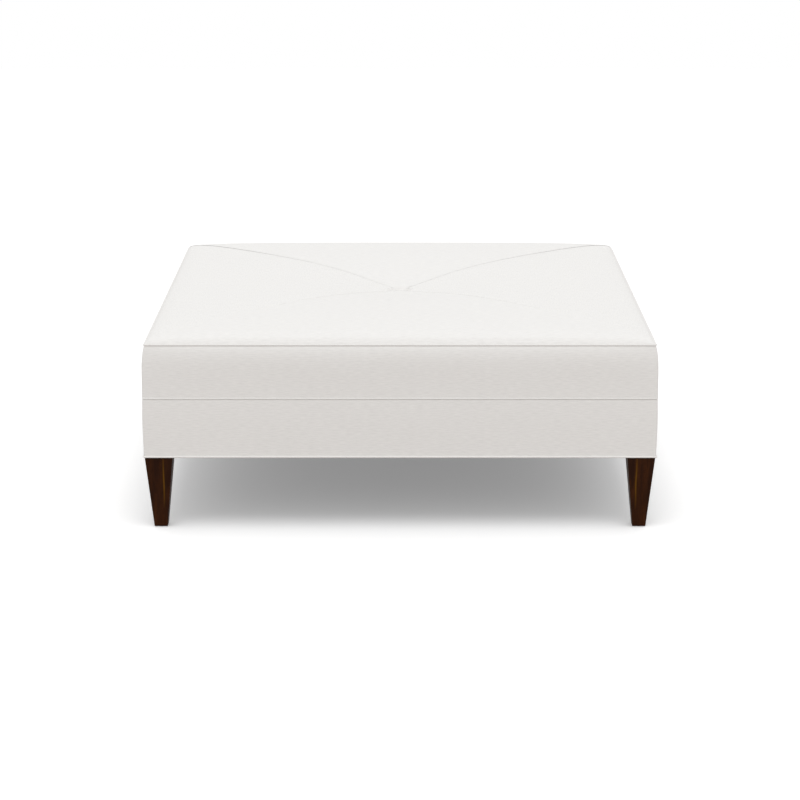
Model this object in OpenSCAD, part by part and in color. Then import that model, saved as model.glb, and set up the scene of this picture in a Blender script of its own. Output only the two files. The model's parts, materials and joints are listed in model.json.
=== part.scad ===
// Square upholstered ottoman: a crowned cushion with a cross of seams, one sewn-down button and
// piped edges, on a boxed timber frame that stands on four tapered wooden legs.
// Sizes are in millimetres. The floor is z = 0, the plan is centred on x = y = 0, and the front faces -y.

/* [Body] */
// Width over the fabric of the base band
body_w = 1216; // [1000:2:1400]
// Depth over the fabric of the base band
body_d = 1216; // [1000:2:1400]
// Thickness of the cover fabric
fabric_t = 1.2; // [0.8:0.1:1.6]
// Thickness of the wadding behind the fabric
wadding_t = 4.8; // [4.4:0.1:7]
// Height of the base band, from the frame's underside to the middle piping
base_band_h = 145.5; // [120:0.5:170]

/* [Legs] */
// Height of a wooden leg
leg_h = 174; // [120:1:260]
// Width of a leg at its top
leg_top_w = 66; // [56:0.5:70]
// Width of a leg at its foot
leg_foot_w = 31.75; // [27:0.25:50]
// Flat planed along each long edge of a leg
leg_edge = 1.6; // [0.6:0.2:4]
// Distance of a leg's outer faces inside the fabric of the base band
leg_inset = 2; // [0:0.5:5]
// Diameter of a nail-on glide
glide_d = 24; // [16:1:26]
// Thickness of a glide
glide_h = 2; // [1.5:0.5:8]
// Diameter of a glide's nail
glide_nail_d = 2.2; // [1.6:0.1:3]
// Length of a glide's nail
glide_nail_len = 14; // [8:1:20]

/* [Leg bolts] */
// Diameter of a hanger bolt
bolt_d = 8; // [6:0.5:8.5]
// Length of a hanger bolt
bolt_len = 64; // [58:1:74]
// Length of a hanger bolt that is held in the leg
bolt_in_leg = 38; // [30:1:42]
// Distance of a bolt's axis from the inner faces of the rails
bolt_wall = 10; // [8.5:0.5:12]
// Outer diameter of a threaded insert
insert_d = 12; // [11:0.5:13]
// Diameter of an insert's collar
insert_collar_d = 15; // [14:0.5:16]
// Thickness of an insert's collar
insert_collar_t = 1.5; // [1:0.1:2]
// Length of a threaded insert
insert_len = 18; // [12:1:20]

/* [Frame] */
// Height of the rails
rail_h = 160; // [150:1:190]
// Thickness of the rails
rail_t = 19; // [17:0.5:23]
// Height of the cross rail
cross_rail_h = 90; // [60:1:100]
// Thickness of the cross rail
cross_rail_t = 22; // [18:0.5:30]
// Distance of the cross rail's top below the webbing
cross_rail_drop = 40; // [30:1:50]
// Length of a corner block along each rail
block_len = 92; // [80:1:120]
// Thickness of a corner block
block_h = 36; // [30:1:50]
// Width of a corner block's squared ends
block_wing = 24; // [22:1:32]
// Diameter of a corner dowel
dowel_d = 8; // [6:0.5:10]
// Length of a dowel
dowel_len = 40; // [32:1:50]
// Depth of a dowel in the face of a rail
dowel_in_face = 12; // [8:0.5:14]
// Distance of a dowel from the nearer edge of its rail
dowel_from_edge = 30; // [20:1:34]
// Diameter of a corner block screw
screw_d = 4.5; // [3.5:0.1:5]
// Length of a corner block screw
screw_len = 34; // [28:1:36]
// Diameter of a screw's head
screw_head_d = 9; // [7.5:0.5:9.5]
// Wood that a screw clamps under its head
screw_grip = 20; // [18:0.5:23]
// Distance of a screw from the squared end of its block
screw_from_end = 14; // [10:1:18]

/* [Seat deck] */
// Width of a webbing strap
webbing_w = 50; // [40:1:60]
// Thickness of a webbing strap
webbing_t = 1.5; // [1:0.1:2]
// Straps on each side of the middle one, in each direction
webbing_pairs = 4; // [3:1:5]
// Flat length of a strap beyond each strap that it crosses
webbing_flat = 4; // [2:0.5:8]
// Distance of a strap's end inside the frame's outer face
webbing_end = 3; // [1:0.5:6]
// Thickness of the hessian over the straps
hessian_t = 1; // [0.6:0.1:1.5]

/* [Cushion] */
// Thickness of the foam core
foam_h = 100; // [80:1:130]
// Height over which the boxing stays upright above the deck
straight_h = 8; // [4:1:20]
// How far the boxing draws in at its top
draw_in = 6.5; // [3:0.5:10]
// How steeply the boxing draws in, as a power
draw_power = 4; // [1.5:0.5:6]
// Height of the top piping's middle above the foam core
top_piping_rise = 9.5; // [5:0.5:12]
// Height of the crown above the cushion's edge
crown_h = 29.5; // [20:0.5:45]
// Distance in which the shoulder of the crown first swells
shoulder_near = 16; // [12:1:40]
// Distance in which the rest of the crown swells
shoulder_far = 110; // [60:5:140]
// Share of the crown in its near shoulder
shoulder_share = 0.55; // [0.4:0.05:0.8]
// Depth of the channel along each diagonal seam
seam_depth = 1.5; // [1:0.5:6]
// Half width of that channel
seam_w = 20; // [10:1:40]
// Gap between two panels at their seam
seam_gap = 0.3; // [0.2:0.1:0.6]
// Distance of the top panels' edges inside the base band
panel_in = 5.8; // [5.4:0.1:6.2]
// Gap between a soft piece and what it lies on
soft_gap = 0.3; // [0.2:0.1:0.5]

/* [Piping] */
// Diameter of the piping
piping_d = 5.2; // [4:0.2:5.4]
// Radius of the piping's middle line round a corner
piping_corner_r = 3; // [3:0.5:8]
// How far the bottom piping stands out of the base band
bottom_piping_out = 2.2; // [0.8:0.1:2.4]
// How far the middle piping stands out of the base band
mid_piping_out = 0.9; // [0.6:0.1:2]
// How far the top piping's outer side lies inside the base band
top_piping_in = 5.2; // [4.6:0.1:6]
// Thickness of the cardboard tack strip under the middle piping
tack_strip_t = 1.6; // [1:0.1:2]
// Width of the tack strip
tack_strip_w = 12; // [8:1:16]
// Distance of a tack strip's end from the corner
tack_strip_end = 3; // [1:0.5:10]
// Outer edge of the base band's hem inside its face
hem_out = 2; // [1.5:0.5:3]

/* [Button] */
// Diameter of the covered button
button_d = 38; // [28:1:50]
// Height of the button
button_h = 9; // [7:0.5:12]
// Height of the button's upright rim
button_rim = 2.5; // [2:0.5:3]
// Thickness of the button's shell
button_shell = 1.2; // [0.8:0.1:1.5]
// Thickness of the button's back plate
button_back_t = 1.5; // [1:0.1:2]
// Flat floor of the tuft around the button
tuft_floor = 1; // [0.5:0.5:4]
// Depth of the tuft's floor below the cushion's edge
tuft_drop = 5.5; // [0:0.5:8]
// Width of the steep wall around the tuft's floor
tuft_wall = 18; // [12:1:30]
// Share of the crown that the tuft pulls down around it
tuft_share = 0.7; // [0.4:0.05:0.85]
// Reach of the tuft's wide hollow
tuft_reach = 168; // [100:2:220]
// Radius of the hole for the button's loop
tuft_hole_r = 7; // [6.6:0.1:9]
// Radius of the loop's middle line
loop_r = 5; // [4.6:0.1:5.4]
// Thickness of the loop's wire
loop_wire_d = 2; // [1.6:0.1:2.2]
// Diameter of the tufting twine
twine_d = 2.5; // [2:0.1:3]
// Radius of the twine's eye
twine_eye_r = 3.2; // [3:0.1:3.4]
// Diameter of the knot under the washer
knot_d = 7; // [6:0.5:10]
// Diameter of the washer under the straps
washer_d = 40; // [30:1:48]
// Thickness of the washer
washer_t = 3; // [2:0.5:5]

/* [Dust cover] */
// Thickness of the dust cover
dust_t = 0.8; // [0.5:0.1:1]
// Distance of the dust cover's edge inside the base band
dust_in = 12; // [9:0.5:15]
// Gap between the dust cover and a leg
dust_leg_gap = 1; // [0.5:0.5:3]
// Length of a staple's crown
staple_w = 12; // [8:1:14]
// Length of a staple's legs
staple_leg = 10; // [6:1:14]
// Width of the staple's wire
staple_wire_w = 1.2; // [1:0.1:1.5]
// Thickness of the staple's wire
staple_wire_t = 0.6; // [0.4:0.1:0.8]
// Staples along each side
staples_per_side = 10; // [6:1:14]

/* [Hidden] */
// Gap between a bolt, dowel, screw or nail and its hole
fit_gap = 0.1;
// Extra depth of a blind hole past what it holds
hole_spare = 2;
$fn = 48;

// Levels above the floor
leg_z1 = glide_h + leg_h;
frame_z0 = leg_z1 + fabric_t;
frame_z1 = frame_z0 + rail_h;
deck_z = frame_z1 + 2 * webbing_t;
foam_z0 = deck_z + hessian_t;
foam_z1 = foam_z0 + foam_h;
bottom_piping_z = frame_z0 + piping_d / 2;
middle_piping_z = frame_z0 + base_band_h;
top_piping_z = foam_z1 + top_piping_rise;
edge_z = top_piping_z + piping_d / 2 + soft_gap + fabric_t;
tuft_floor_z = edge_z - tuft_drop;

// Plan sizes, worked inwards from the base band's fabric
frame_in = fabric_t + wadding_t;
frame_w = body_w - 2 * frame_in;
frame_d = body_d - 2 * frame_in;
inner_w = frame_w / 2 - rail_t;
inner_d = frame_d / 2 - rail_t;
bolt_x = inner_w - bolt_wall;
bolt_y = inner_d - bolt_wall;
leg_x = body_w / 2 - leg_inset - leg_top_w / 2;
leg_y = body_d / 2 - leg_inset - leg_top_w / 2;
cross_rail_z0 = frame_z1 - cross_rail_drop - cross_rail_h;
block_screw_z = [block_h / 3, block_h * 2 / 3];
strip_z1 = middle_piping_z - piping_d / 2 - fabric_t;
strip_z0 = strip_z1 - tack_strip_w;

// Colours
cover_color = [0.92, 0.91, 0.9];
walnut_color = [0.16, 0.09, 0.05];
timber_color = [0.8, 0.66, 0.46];
steel_color = [0.65, 0.66, 0.68];
wadding_color = [0.97, 0.97, 0.97];
foam_color = [0.96, 0.9, 0.7];
jute_color = [0.72, 0.58, 0.38];
black_cloth_color = [0.08, 0.08, 0.08];

// Smooth step from 0 to 1
function smooth(t) = let(s = min(1, max(0, t))) s * s * (3 - 2 * s);

// The front-left corner of the frame's inside, mirrored to the corner on side sx and sy
module at_corner(sx, sy) {
  translate([sx * inner_w, sy * inner_d, frame_z0])
    mirror([sx > 0 ? 1 : 0, 0, 0]) mirror([0, sy > 0 ? 1 : 0, 0]) children();
}

module each_corner() {
  for (sx = [-1, 1], sy = [-1, 1]) at_corner(sx, sy) children();
}

// Legs, glides and the bolts that hold the legs

// Upright slab whose face is the leg's tapered outline, cut down at its corners by trim
module leg_outline(foot, top) {
  rotate([90, 0, 0]) linear_extrude(2 * leg_top_w, center = true)
    polygon([[-foot, 0], [foot, 0], [top, leg_h], [-top, leg_h]]);
}

module leg(sx, sy) {
  foot = leg_foot_w / 2;
  top = leg_top_w / 2;
  foot_edge = foot * sqrt(2) - leg_edge / 2;
  top_edge = top * sqrt(2) - leg_edge / 2;
  color(walnut_color) difference() {
    translate([sx * leg_x, sy * leg_y, glide_h]) intersection() {
      leg_outline(foot, top);
      rotate([0, 0, 90]) leg_outline(foot, top);
      rotate([0, 0, 45]) leg_outline(foot_edge, top_edge);
      rotate([0, 0, -45]) leg_outline(foot_edge, top_edge);
    }
    bolt_bore_z0 = leg_z1 - bolt_in_leg - hole_spare;
    translate([sx * bolt_x, sy * bolt_y, bolt_bore_z0])
      cylinder(h = leg_z1 - bolt_bore_z0 + 1, d = bolt_d + 2 * fit_gap);
    translate([sx * leg_x, sy * leg_y, glide_h - 1])
      cylinder(h = glide_nail_len + hole_spare + 1, d = glide_nail_d + 2 * fit_gap);
  }
}

// Nail-on glide with a rounded lower edge
module glide(sx, sy) {
  edge_r = glide_h / 2;
  color("dimgray") translate([sx * leg_x, sy * leg_y, 0]) {
    rotate_extrude() {
      square([glide_d / 2 - edge_r, glide_h]);
      translate([0, edge_r]) square([glide_d / 2, glide_h - edge_r]);
      translate([glide_d / 2 - edge_r, edge_r]) circle(edge_r);
    }
    translate([0, 0, glide_h]) cylinder(h = glide_nail_len, d = glide_nail_d);
  }
}

module hanger_bolts() {
  color(steel_color) for (sx = [-1, 1], sy = [-1, 1])
    translate([sx * bolt_x, sy * bolt_y, leg_z1 - bolt_in_leg]) cylinder(h = bolt_len, d = bolt_d);
}

module threaded_inserts() {
  color(steel_color) each_corner() translate([bolt_wall, bolt_wall, 0]) difference() {
    union() {
      cylinder(h = insert_len, d = insert_d);
      cylinder(h = insert_collar_t, d = insert_collar_d);
    }
    translate([0, 0, -1]) cylinder(h = insert_len + 2, d = bolt_d + 2 * fit_gap);
  }
}

// Corner blocks and their screws

// Puts its children at each screw of one corner, with the screw's head at z = 0 and its tip up.
// wing 0 goes into the front or back rail, and wing 1 into the side rail.
module at_block_screws(wing) {
  along = block_len - screw_from_end;
  for (z = block_screw_z)
    if (wing == 0) translate([along, screw_grip, z]) rotate([90, 0, 0]) children();
    else translate([screw_grip, along, z]) rotate([0, -90, 0]) children();
}

module block_screw() {
  head_h = (screw_head_d - screw_d) / 2;
  tip_h = screw_d;
  cylinder(h = head_h, d1 = screw_head_d, d2 = screw_d);
  translate([0, 0, head_h]) cylinder(h = screw_len - head_h - tip_h, d = screw_d);
  translate([0, 0, screw_len - tip_h]) cylinder(h = tip_h, d1 = screw_d, d2 = 0);
}

// Hole, countersink and pocket for one screw
module screw_hole() {
  gap = 2 * fit_gap;
  head_h = (screw_head_d - screw_d) / 2;
  translate([0, 0, -block_len]) cylinder(h = block_len, d = screw_head_d + gap);
  cylinder(h = head_h, d1 = screw_head_d + gap, d2 = screw_d + gap);
  translate([0, 0, head_h]) cylinder(h = screw_len - head_h + hole_spare / 2, d = screw_d + gap);
}

module corner_block(sx, sy) {
  color(timber_color) at_corner(sx, sy) difference() {
    linear_extrude(block_h) polygon([
      [0, 0], [block_len, 0], [block_len, block_wing], [block_wing, block_len], [0, block_len]
    ]);
    for (wing = [0, 1]) at_block_screws(wing) screw_hole();
    translate([bolt_wall, bolt_wall, -1]) {
      cylinder(h = insert_len + 1 + fit_gap, d = insert_d + 2 * fit_gap);
      cylinder(h = insert_collar_t + 1 + fit_gap, d = insert_collar_d + 2 * fit_gap);
      cylinder(h = block_h + 2, d = bolt_d + 1);
    }
  }
}

module corner_block_screws() {
  color(steel_color) each_corner() for (wing = [0, 1]) at_block_screws(wing) block_screw();
}

// Rails and dowels

// Puts its children at each dowel's end in the face of the front rail, pointing back along +y
module at_front_dowels() {
  x_corner = frame_w / 2 - rail_t / 2;
  z_corner = [frame_z0 + dowel_from_edge, frame_z1 - dowel_from_edge];
  z_cross = [cross_rail_z0 + dowel_from_edge / 2, cross_rail_z0 + cross_rail_h - dowel_from_edge / 2];
  y_start = -inner_d - dowel_in_face;
  for (x = [-x_corner, x_corner], z = z_corner) translate([x, y_start, z]) rotate([-90, 0, 0]) children();
  for (z = z_cross) translate([0, y_start, z]) rotate([-90, 0, 0]) children();
}

module each_dowel() {
  at_front_dowels() children();
  mirror([0, 1, 0]) at_front_dowels() children();
}

module dowel_holes() {
  each_dowel() translate([0, 0, -fit_gap])
    cylinder(h = dowel_len + 2 * fit_gap, d = dowel_d + 2 * fit_gap);
}

module screw_holes(wing) {
  each_corner() at_block_screws(wing) screw_hole();
}

// Rail across the front (sy = -1) or the back (sy = 1)
module long_rail(sy) {
  color(timber_color) difference() {
    translate([-frame_w / 2, sy * (inner_d + rail_t / 2) - rail_t / 2, frame_z0])
      cube([frame_w, rail_t, rail_h]);
    dowel_holes();
    screw_holes(0);
  }
}

// Rail along the left (sx = -1) or the right (sx = 1), butted between the other two
module side_rail(sx) {
  color(timber_color) difference() {
    translate([sx * (inner_w + rail_t / 2) - rail_t / 2, -inner_d, frame_z0])
      cube([rail_t, 2 * inner_d, rail_h]);
    dowel_holes();
    screw_holes(1);
  }
}

module cross_rail() {
  color(timber_color) difference() {
    translate([-cross_rail_t / 2, -inner_d, cross_rail_z0]) cube([cross_rail_t, 2 * inner_d, cross_rail_h]);
    dowel_holes();
  }
}

module rail_dowels() {
  color(timber_color) each_dowel() cylinder(h = dowel_len, d = dowel_d);
}

// Seat deck: woven straps and hessian

strap_count = 2 * webbing_pairs + 1;

// Place of strap i across a span
function strap_at(i, span) = (i - webbing_pairs) * span / strap_count;

// Middle line of a strap along half a frame of size half, over or under the straps that cross it.
// Each point is the distance along and the height in half thicknesses.
function strap_line(half, span, parity) = concat(
  [[-half + webbing_end, -1], [-half + rail_t, -1]],
  [for (i = [0 : strap_count - 1], side = [-1, 1])
    [strap_at(i, span) + side * (webbing_w / 2 + webbing_flat), (i + parity) % 2 == 0 ? 1 : -1]],
  [[half - rail_t, -1], [half - webbing_end, -1]]
);

// One strap lying along x, with its middle line on y = 0
module strap(half, span, parity) {
  line = strap_line(half, span, parity);
  mid_z = frame_z1 + webbing_t;
  under = [for (p = line) [p.x, mid_z + (p.y - 1) * webbing_t / 2]];
  over = [for (k = [len(line) - 1 : -1 : 0]) [line[k].x, mid_z + (line[k].y + 1) * webbing_t / 2]];
  rotate([90, 0, 0]) linear_extrude(webbing_w, center = true) polygon(concat(under, over));
}

module twine_hole() {
  translate([0, 0, frame_z1 - washer_t - 1]) cylinder(h = foam_z1 - frame_z1 + washer_t + 2, d = twine_d + 1);
}

module webbing_side_to_side() {
  color(jute_color) difference() {
    for (j = [0 : strap_count - 1])
      translate([0, strap_at(j, 2 * inner_d), 0]) strap(frame_w / 2, 2 * inner_w, j);
    twine_hole();
  }
}

module webbing_front_to_back() {
  color(jute_color) difference() {
    for (j = [0 : strap_count - 1])
      translate([strap_at(j, 2 * inner_w), 0, 0]) rotate([0, 0, 90]) strap(frame_d / 2, 2 * inner_d, j + 1);
    twine_hole();
  }
}

module hessian() {
  sheet_w = frame_w - 2 * webbing_end;
  sheet_d = frame_d - 2 * webbing_end;
  color(jute_color) difference() {
    translate([-sheet_w / 2, -sheet_d / 2, deck_z]) cube([sheet_w, sheet_d, hessian_t]);
    twine_hole();
  }
}

// Cushion sides: foam, wadding and boxing share one drawn-in outline

boxing_z0 = middle_piping_z + piping_d / 2;
boxing_z1 = top_piping_z - piping_d / 2;
straight_z1 = foam_z0 + straight_h;
draw_steps = 6;

// How far the side has drawn in at a level
function drawn_in(z) =
  z <= straight_z1 ? 0 : draw_in * pow((z - straight_z1) / (boxing_z1 - straight_z1), draw_power);

// Levels from the top of the straight part to the top of the foam
draw_levels = [for (k = [0 : draw_steps]) straight_z1 + (foam_z1 - straight_z1) * k / draw_steps];

// Outline across a block that is inset from the band's face, from level z0 up through levels
function block_outline(size, inset, levels) = concat(
  [for (z = levels) [-size / 2 + inset + drawn_in(z), z]],
  [for (k = [len(levels) - 1 : -1 : 0]) [size / 2 - inset - drawn_in(levels[k]), levels[k]]]
);

module drawn_block(inset, levels) {
  intersection() {
    rotate([90, 0, 90]) linear_extrude(body_w, center = true) polygon(block_outline(body_d, inset, levels));
    rotate([90, 0, 0]) linear_extrude(body_d, center = true) polygon(block_outline(body_w, inset, levels));
  }
}

module foam_core() {
  color(foam_color) difference() {
    drawn_block(frame_in, concat([foam_z0], draw_levels));
    twine_hole();
    translate([0, 0, tuft_floor_z - loop_r - 2 * twine_eye_r - hole_spare]) cylinder(h = foam_z1, r = tuft_hole_r);
  }
}

module cushion_wadding() {
  z0 = boxing_z0 + fabric_t;
  color(wadding_color) difference() {
    drawn_block(fabric_t, concat([z0], draw_levels));
    drawn_block(frame_in, concat([z0 - 1], draw_levels, [foam_z1 + 1]));
  }
}

module base_wadding() {
  z0 = bottom_piping_z + piping_d / 2 + fabric_t;
  color(wadding_color) difference() {
    translate([-body_w / 2 + fabric_t, -body_d / 2 + fabric_t, z0])
      cube([body_w - 2 * fabric_t, body_d - 2 * fabric_t, strip_z0 - z0]);
    translate([-frame_w / 2, -frame_d / 2, z0 - 1]) cube([frame_w, frame_d, strip_z0 - z0 + 2]);
  }
}

// Front strip with an outline of points [distance in from the band's face, level], mitred at both
// corners. width runs along the strip, and depth is the size across to the opposite strip.
module mitred_strip(width, depth, outline) {
  reach = frame_in + rail_t;
  intersection() {
    translate([0, -depth / 2, 0]) rotate([90, 0, 90]) linear_extrude(width, center = true) polygon(outline);
    linear_extrude(boxing_z1 + 1) polygon([
      [-width / 2, -depth / 2], [width / 2, -depth / 2],
      [width / 2 - reach, -depth / 2 + reach], [-width / 2 + reach, -depth / 2 + reach]
    ]);
  }
}

// Turns a front strip to side 0 front, 1 right, 2 back or 3 left
module on_side(side) {
  rotate([0, 0, 90 * side]) children();
}

function side_width(side) = side % 2 == 0 ? body_w : body_d;
function side_depth(side) = side % 2 == 0 ? body_d : body_w;

// Boxing: upright fabric above the middle piping, with its lower edge turned in behind the piping
// and tacked to the rail
boxing_outline = concat(
  [[wadding_t, strip_z0], [wadding_t, boxing_z0], [0, boxing_z0]],
  [for (z = draw_levels) [drawn_in(z), z]],
  [[draw_in, boxing_z1], [draw_in + fabric_t, boxing_z1]],
  [for (k = [draw_steps : -1 : 0]) [drawn_in(draw_levels[k]) + fabric_t, draw_levels[k]]],
  [[fabric_t, boxing_z0 + fabric_t], [frame_in, boxing_z0 + fabric_t], [frame_in, strip_z0]]
);

module boxing(side) {
  color(cover_color) on_side(side) mitred_strip(side_width(side), side_depth(side), boxing_outline);
}

// Base band: folded over the tack strip at its top, and turned in above the bottom piping, down the
// rail and under it as a hem
band_z1 = strip_z1 + fabric_t;
band_z0 = bottom_piping_z + piping_d / 2;
band_outline = [
  [0, band_z1], [0, band_z0], [wadding_t, band_z0], [wadding_t, frame_z0], [hem_out, frame_z0],
  [hem_out, leg_z1], [frame_in + rail_t, leg_z1], [frame_in + rail_t, frame_z0], [frame_in, frame_z0],
  [frame_in, band_z0 + fabric_t], [fabric_t, band_z0 + fabric_t], [fabric_t, strip_z1],
  [wadding_t, strip_z1], [wadding_t, band_z1]
];

module base_band(side) {
  color(cover_color) on_side(side) mitred_strip(side_width(side), side_depth(side), band_outline);
}

// Cardboard strips that give the fold under the middle piping its straight edge, cut square and
// short of the corners
module tack_strips() {
  color("burlywood") for (side = [0 : 3]) on_side(side) {
    strip_len = side_width(side) - 2 * (wadding_t + tack_strip_end);
    translate([-strip_len / 2, -side_depth(side) / 2 + wadding_t - tack_strip_t, strip_z0])
      cube([strip_len, tack_strip_t, tack_strip_w]);
  }
}

// Closed ring of piping, whose middle line lies inset from the band's face
module piping(inset, z) {
  half_w = body_w / 2 - inset;
  half_d = body_d / 2 - inset;
  corner = piping_corner_r;
  color(cover_color) translate([0, 0, z]) {
    for (s = [-1, 1]) {
      translate([0, s * half_d, 0]) rotate([0, 90, 0])
        cylinder(h = 2 * (half_w - corner), d = piping_d, center = true);
      translate([s * half_w, 0, 0]) rotate([90, 0, 0])
        cylinder(h = 2 * (half_d - corner), d = piping_d, center = true);
    }
    for (k = [0 : 3]) {
      sx = k == 0 || k == 3 ? 1 : -1;
      sy = k < 2 ? 1 : -1;
      translate([sx * (half_w - corner), sy * (half_d - corner), 0]) rotate([0, 0, 90 * k])
        rotate_extrude(angle = 90) translate([corner, 0]) circle(d = piping_d);
    }
  }
}

// Crowned top: four triangular panels that meet in the diagonal seams, over one soft pad

panel_half_w = body_w / 2 - panel_in;
panel_half_d = body_d / 2 - panel_in;
mean_half = (panel_half_w + panel_half_d) / 2;
floor_r = button_d / 2 + tuft_floor;
panel_rows = 16;
panel_cols = 14;

// Rise of the shoulder at a distance inside the edge, from 0 to 1
function shoulder(d) =
  shoulder_share * (1 - exp(-d / shoulder_near)) + (1 - shoulder_share) * (1 - exp(-d / shoulder_far));

// Closeness to a diagonal seam, 1 on the seam
function near_seam(x, y, half_a, half_b) =
  let(away = abs(abs(x) * half_b - abs(y) * half_a) / norm([half_a, half_b])) exp(-pow(away / seam_w, 2));

// Height of the top fabric above the cushion's edge
function crown(x, y, half_a, half_b) =
  let(r = norm([x, y]),
      swell = shoulder(half_a - abs(x)) * shoulder(half_b - abs(y)),
      hollow = 1 - tuft_share * exp(-pow(r / tuft_reach, 1.7)),
      cushion = swell * (crown_h * hollow - seam_depth * near_seam(x, y, half_a, half_b)),
      wall = smooth((r - floor_r) / tuft_wall))
  cushion * wall - tuft_drop * (1 - wall);

// Rows are circles round the button that turn into the square edge further out, and are closest
// together at the tuft and at the edge
function row_radius(j) =
  j == 0 ? tuft_hole_r : floor_r + (mean_half - floor_r) * (1 - cos(180 * (j - 1) / (panel_rows - 1))) / 2;
function squareness(j) = smooth((row_radius(j) - floor_r) / (0.6 * mean_half - floor_r));

// Share across the panel of column i, from -1 on the left seam to 1 on the right seam
function across(i) = sin(90 * (2 * i / panel_cols - 1));

// Plan point of row j and column i on a front panel
function plan_point(j, i, half_a, half_b) =
  let(edge = [half_a * across(i), -half_b], reach = norm(edge), r = row_radius(j), k = squareness(j))
  edge / reach * (r * (1 - k) + reach * r / mean_half * k);

// Surface point, with its sides drawn back from the seams by gap
function panel_point(j, i, half_a, half_b, gap, below) =
  let(p = plan_point(j, i, half_a, half_b))
  [p.x - across(i) * gap, p.y, edge_z + crown(p.x, p.y, half_a, half_b) - below];

// Quad a, b, c, d as two triangles
function quad(a, b, c, d) = [[a, b, c], [a, c, d]];

module top_panel(side) {
  half_a = side % 2 == 0 ? panel_half_w : panel_half_d;
  half_b = side % 2 == 0 ? panel_half_d : panel_half_w;
  per_row = panel_cols + 1;
  under = (panel_rows + 1) * per_row;
  points = [for (below = [0, fabric_t], j = [0 : panel_rows], i = [0 : panel_cols])
    panel_point(j, i, half_a, half_b, seam_gap * sqrt(2) / 2, below)];
  faces = [
    for (j = [0 : panel_rows - 1], i = [0 : panel_cols - 1])
      let(a = j * per_row + i, b = a + 1, d = a + per_row, c = d + 1)
        each concat(quad(a, b, c, d), quad(under + a, under + d, under + c, under + b)),
    for (i = [0 : panel_cols - 1])
      let(a = i, b = i + 1, d = panel_rows * per_row + i, c = d + 1)
        each concat(quad(b, a, under + a, under + b), quad(d, c, under + c, under + d)),
    for (j = [0 : panel_rows - 1])
      let(a = j * per_row, d = a + per_row, b = a + panel_cols, c = d + panel_cols)
        each concat(quad(a, d, under + d, under + a), quad(c, b, under + b, under + c))
  ];
  color(cover_color) on_side(side) polyhedron(points, faces, convexity = 4);
}

// Soft pad under the panels, flat on the foam, with a hole for the button's loop. Its rows and
// columns are the panels' own, so that the two surfaces stay parallel.
pad_in = top_piping_in + piping_d + 2 * soft_gap - panel_in;
pad_edge_share = 1 - pad_in / (mean_half - row_radius(panel_rows - 1));

function pad_point(j, i, half_a, half_b) =
  let(below = fabric_t + soft_gap, p = panel_point(j, i, half_a, half_b, 0, below))
  j < panel_rows ? p
  : let(q = panel_point(j - 1, i, half_a, half_b, 0, below)) q + (p - q) * pad_edge_share;

function turned(p, side) =
  side == 0 ? p : side == 1 ? [-p.y, p.x, p.z] : side == 2 ? [-p.x, -p.y, p.z] : [p.y, -p.x, p.z];

function pad_ring(j) = [for (side = [0 : 3], i = [0 : panel_cols - 1])
  turned(pad_point(j, i, side % 2 == 0 ? panel_half_w : panel_half_d,
                   side % 2 == 0 ? panel_half_d : panel_half_w), side)];

module crown_pad() {
  around = 4 * panel_cols;
  rings = [for (j = [0 : panel_rows]) pad_ring(j)];
  base = [for (j = [0, panel_rows]) [for (p = rings[j]) [p.x, p.y, foam_z1]]];
  points = [for (ring = concat(rings, base)) each ring];
  inner_base = (panel_rows + 1) * around;
  outer_base = inner_base + around;
  faces = [
    for (j = [0 : panel_rows - 1], i = [0 : around - 1])
      let(n = (i + 1) % around, a = j * around + i, b = j * around + n)
        each quad(a, b, b + around, a + around),
    for (i = [0 : around - 1])
      let(n = (i + 1) % around, rim = panel_rows * around)
        each concat(
          quad(n, i, inner_base + i, inner_base + n),
          quad(rim + i, rim + n, outer_base + n, outer_base + i),
          quad(inner_base + i, outer_base + i, outer_base + n, inner_base + n))
  ];
  color(wadding_color) polyhedron(points, faces, convexity = 6);
}

// Button, twine and washer

button_z0 = tuft_floor_z + soft_gap;

// Round cap with an upright rim and a domed top
module cap_form(r, rim, h) {
  rise = h - rim;
  dome_r = (r * r + rise * rise) / (2 * rise);
  intersection() {
    cylinder(h = h, r = r);
    translate([0, 0, h - dome_r]) sphere(dome_r, $fn = 96);
  }
}

module button_cap() {
  color(cover_color) translate([0, 0, button_z0]) difference() {
    cap_form(button_d / 2, button_rim, button_h);
    translate([0, 0, -1]) cap_form(button_d / 2 - button_shell, button_rim + 1, button_h - button_shell + 1);
  }
}

module button_back() {
  color(steel_color) translate([0, 0, button_z0]) {
    cylinder(h = button_back_t, r = button_d / 2 - button_shell - fit_gap);
    rotate([-90, 0, 0]) rotate_extrude(angle = 180) translate([loop_r, 0]) circle(d = loop_wire_d);
  }
}

// Twine with its eye through the button's loop, drawn down to a knot under the washer
module tuft_twine() {
  eye_z = button_z0 - loop_r + loop_wire_d / 2 + fit_gap - twine_eye_r + twine_d / 2;
  knot_z = frame_z1 - washer_t - knot_d / 2;
  color("ivory") {
    translate([0, 0, eye_z]) rotate([0, 90, 0]) rotate_extrude() translate([twine_eye_r, 0]) circle(d = twine_d);
    translate([0, 0, knot_z]) cylinder(h = eye_z - twine_eye_r - knot_z, d = twine_d);
    translate([0, 0, knot_z]) sphere(d = knot_d);
  }
}

module tuft_washer() {
  color("gray") translate([0, 0, frame_z1 - washer_t]) difference() {
    cylinder(h = washer_t, d = washer_d);
    translate([0, 0, -1]) cylinder(h = washer_t + 2, d = twine_d + 1);
  }
}

// Dust cover and its staples

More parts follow.
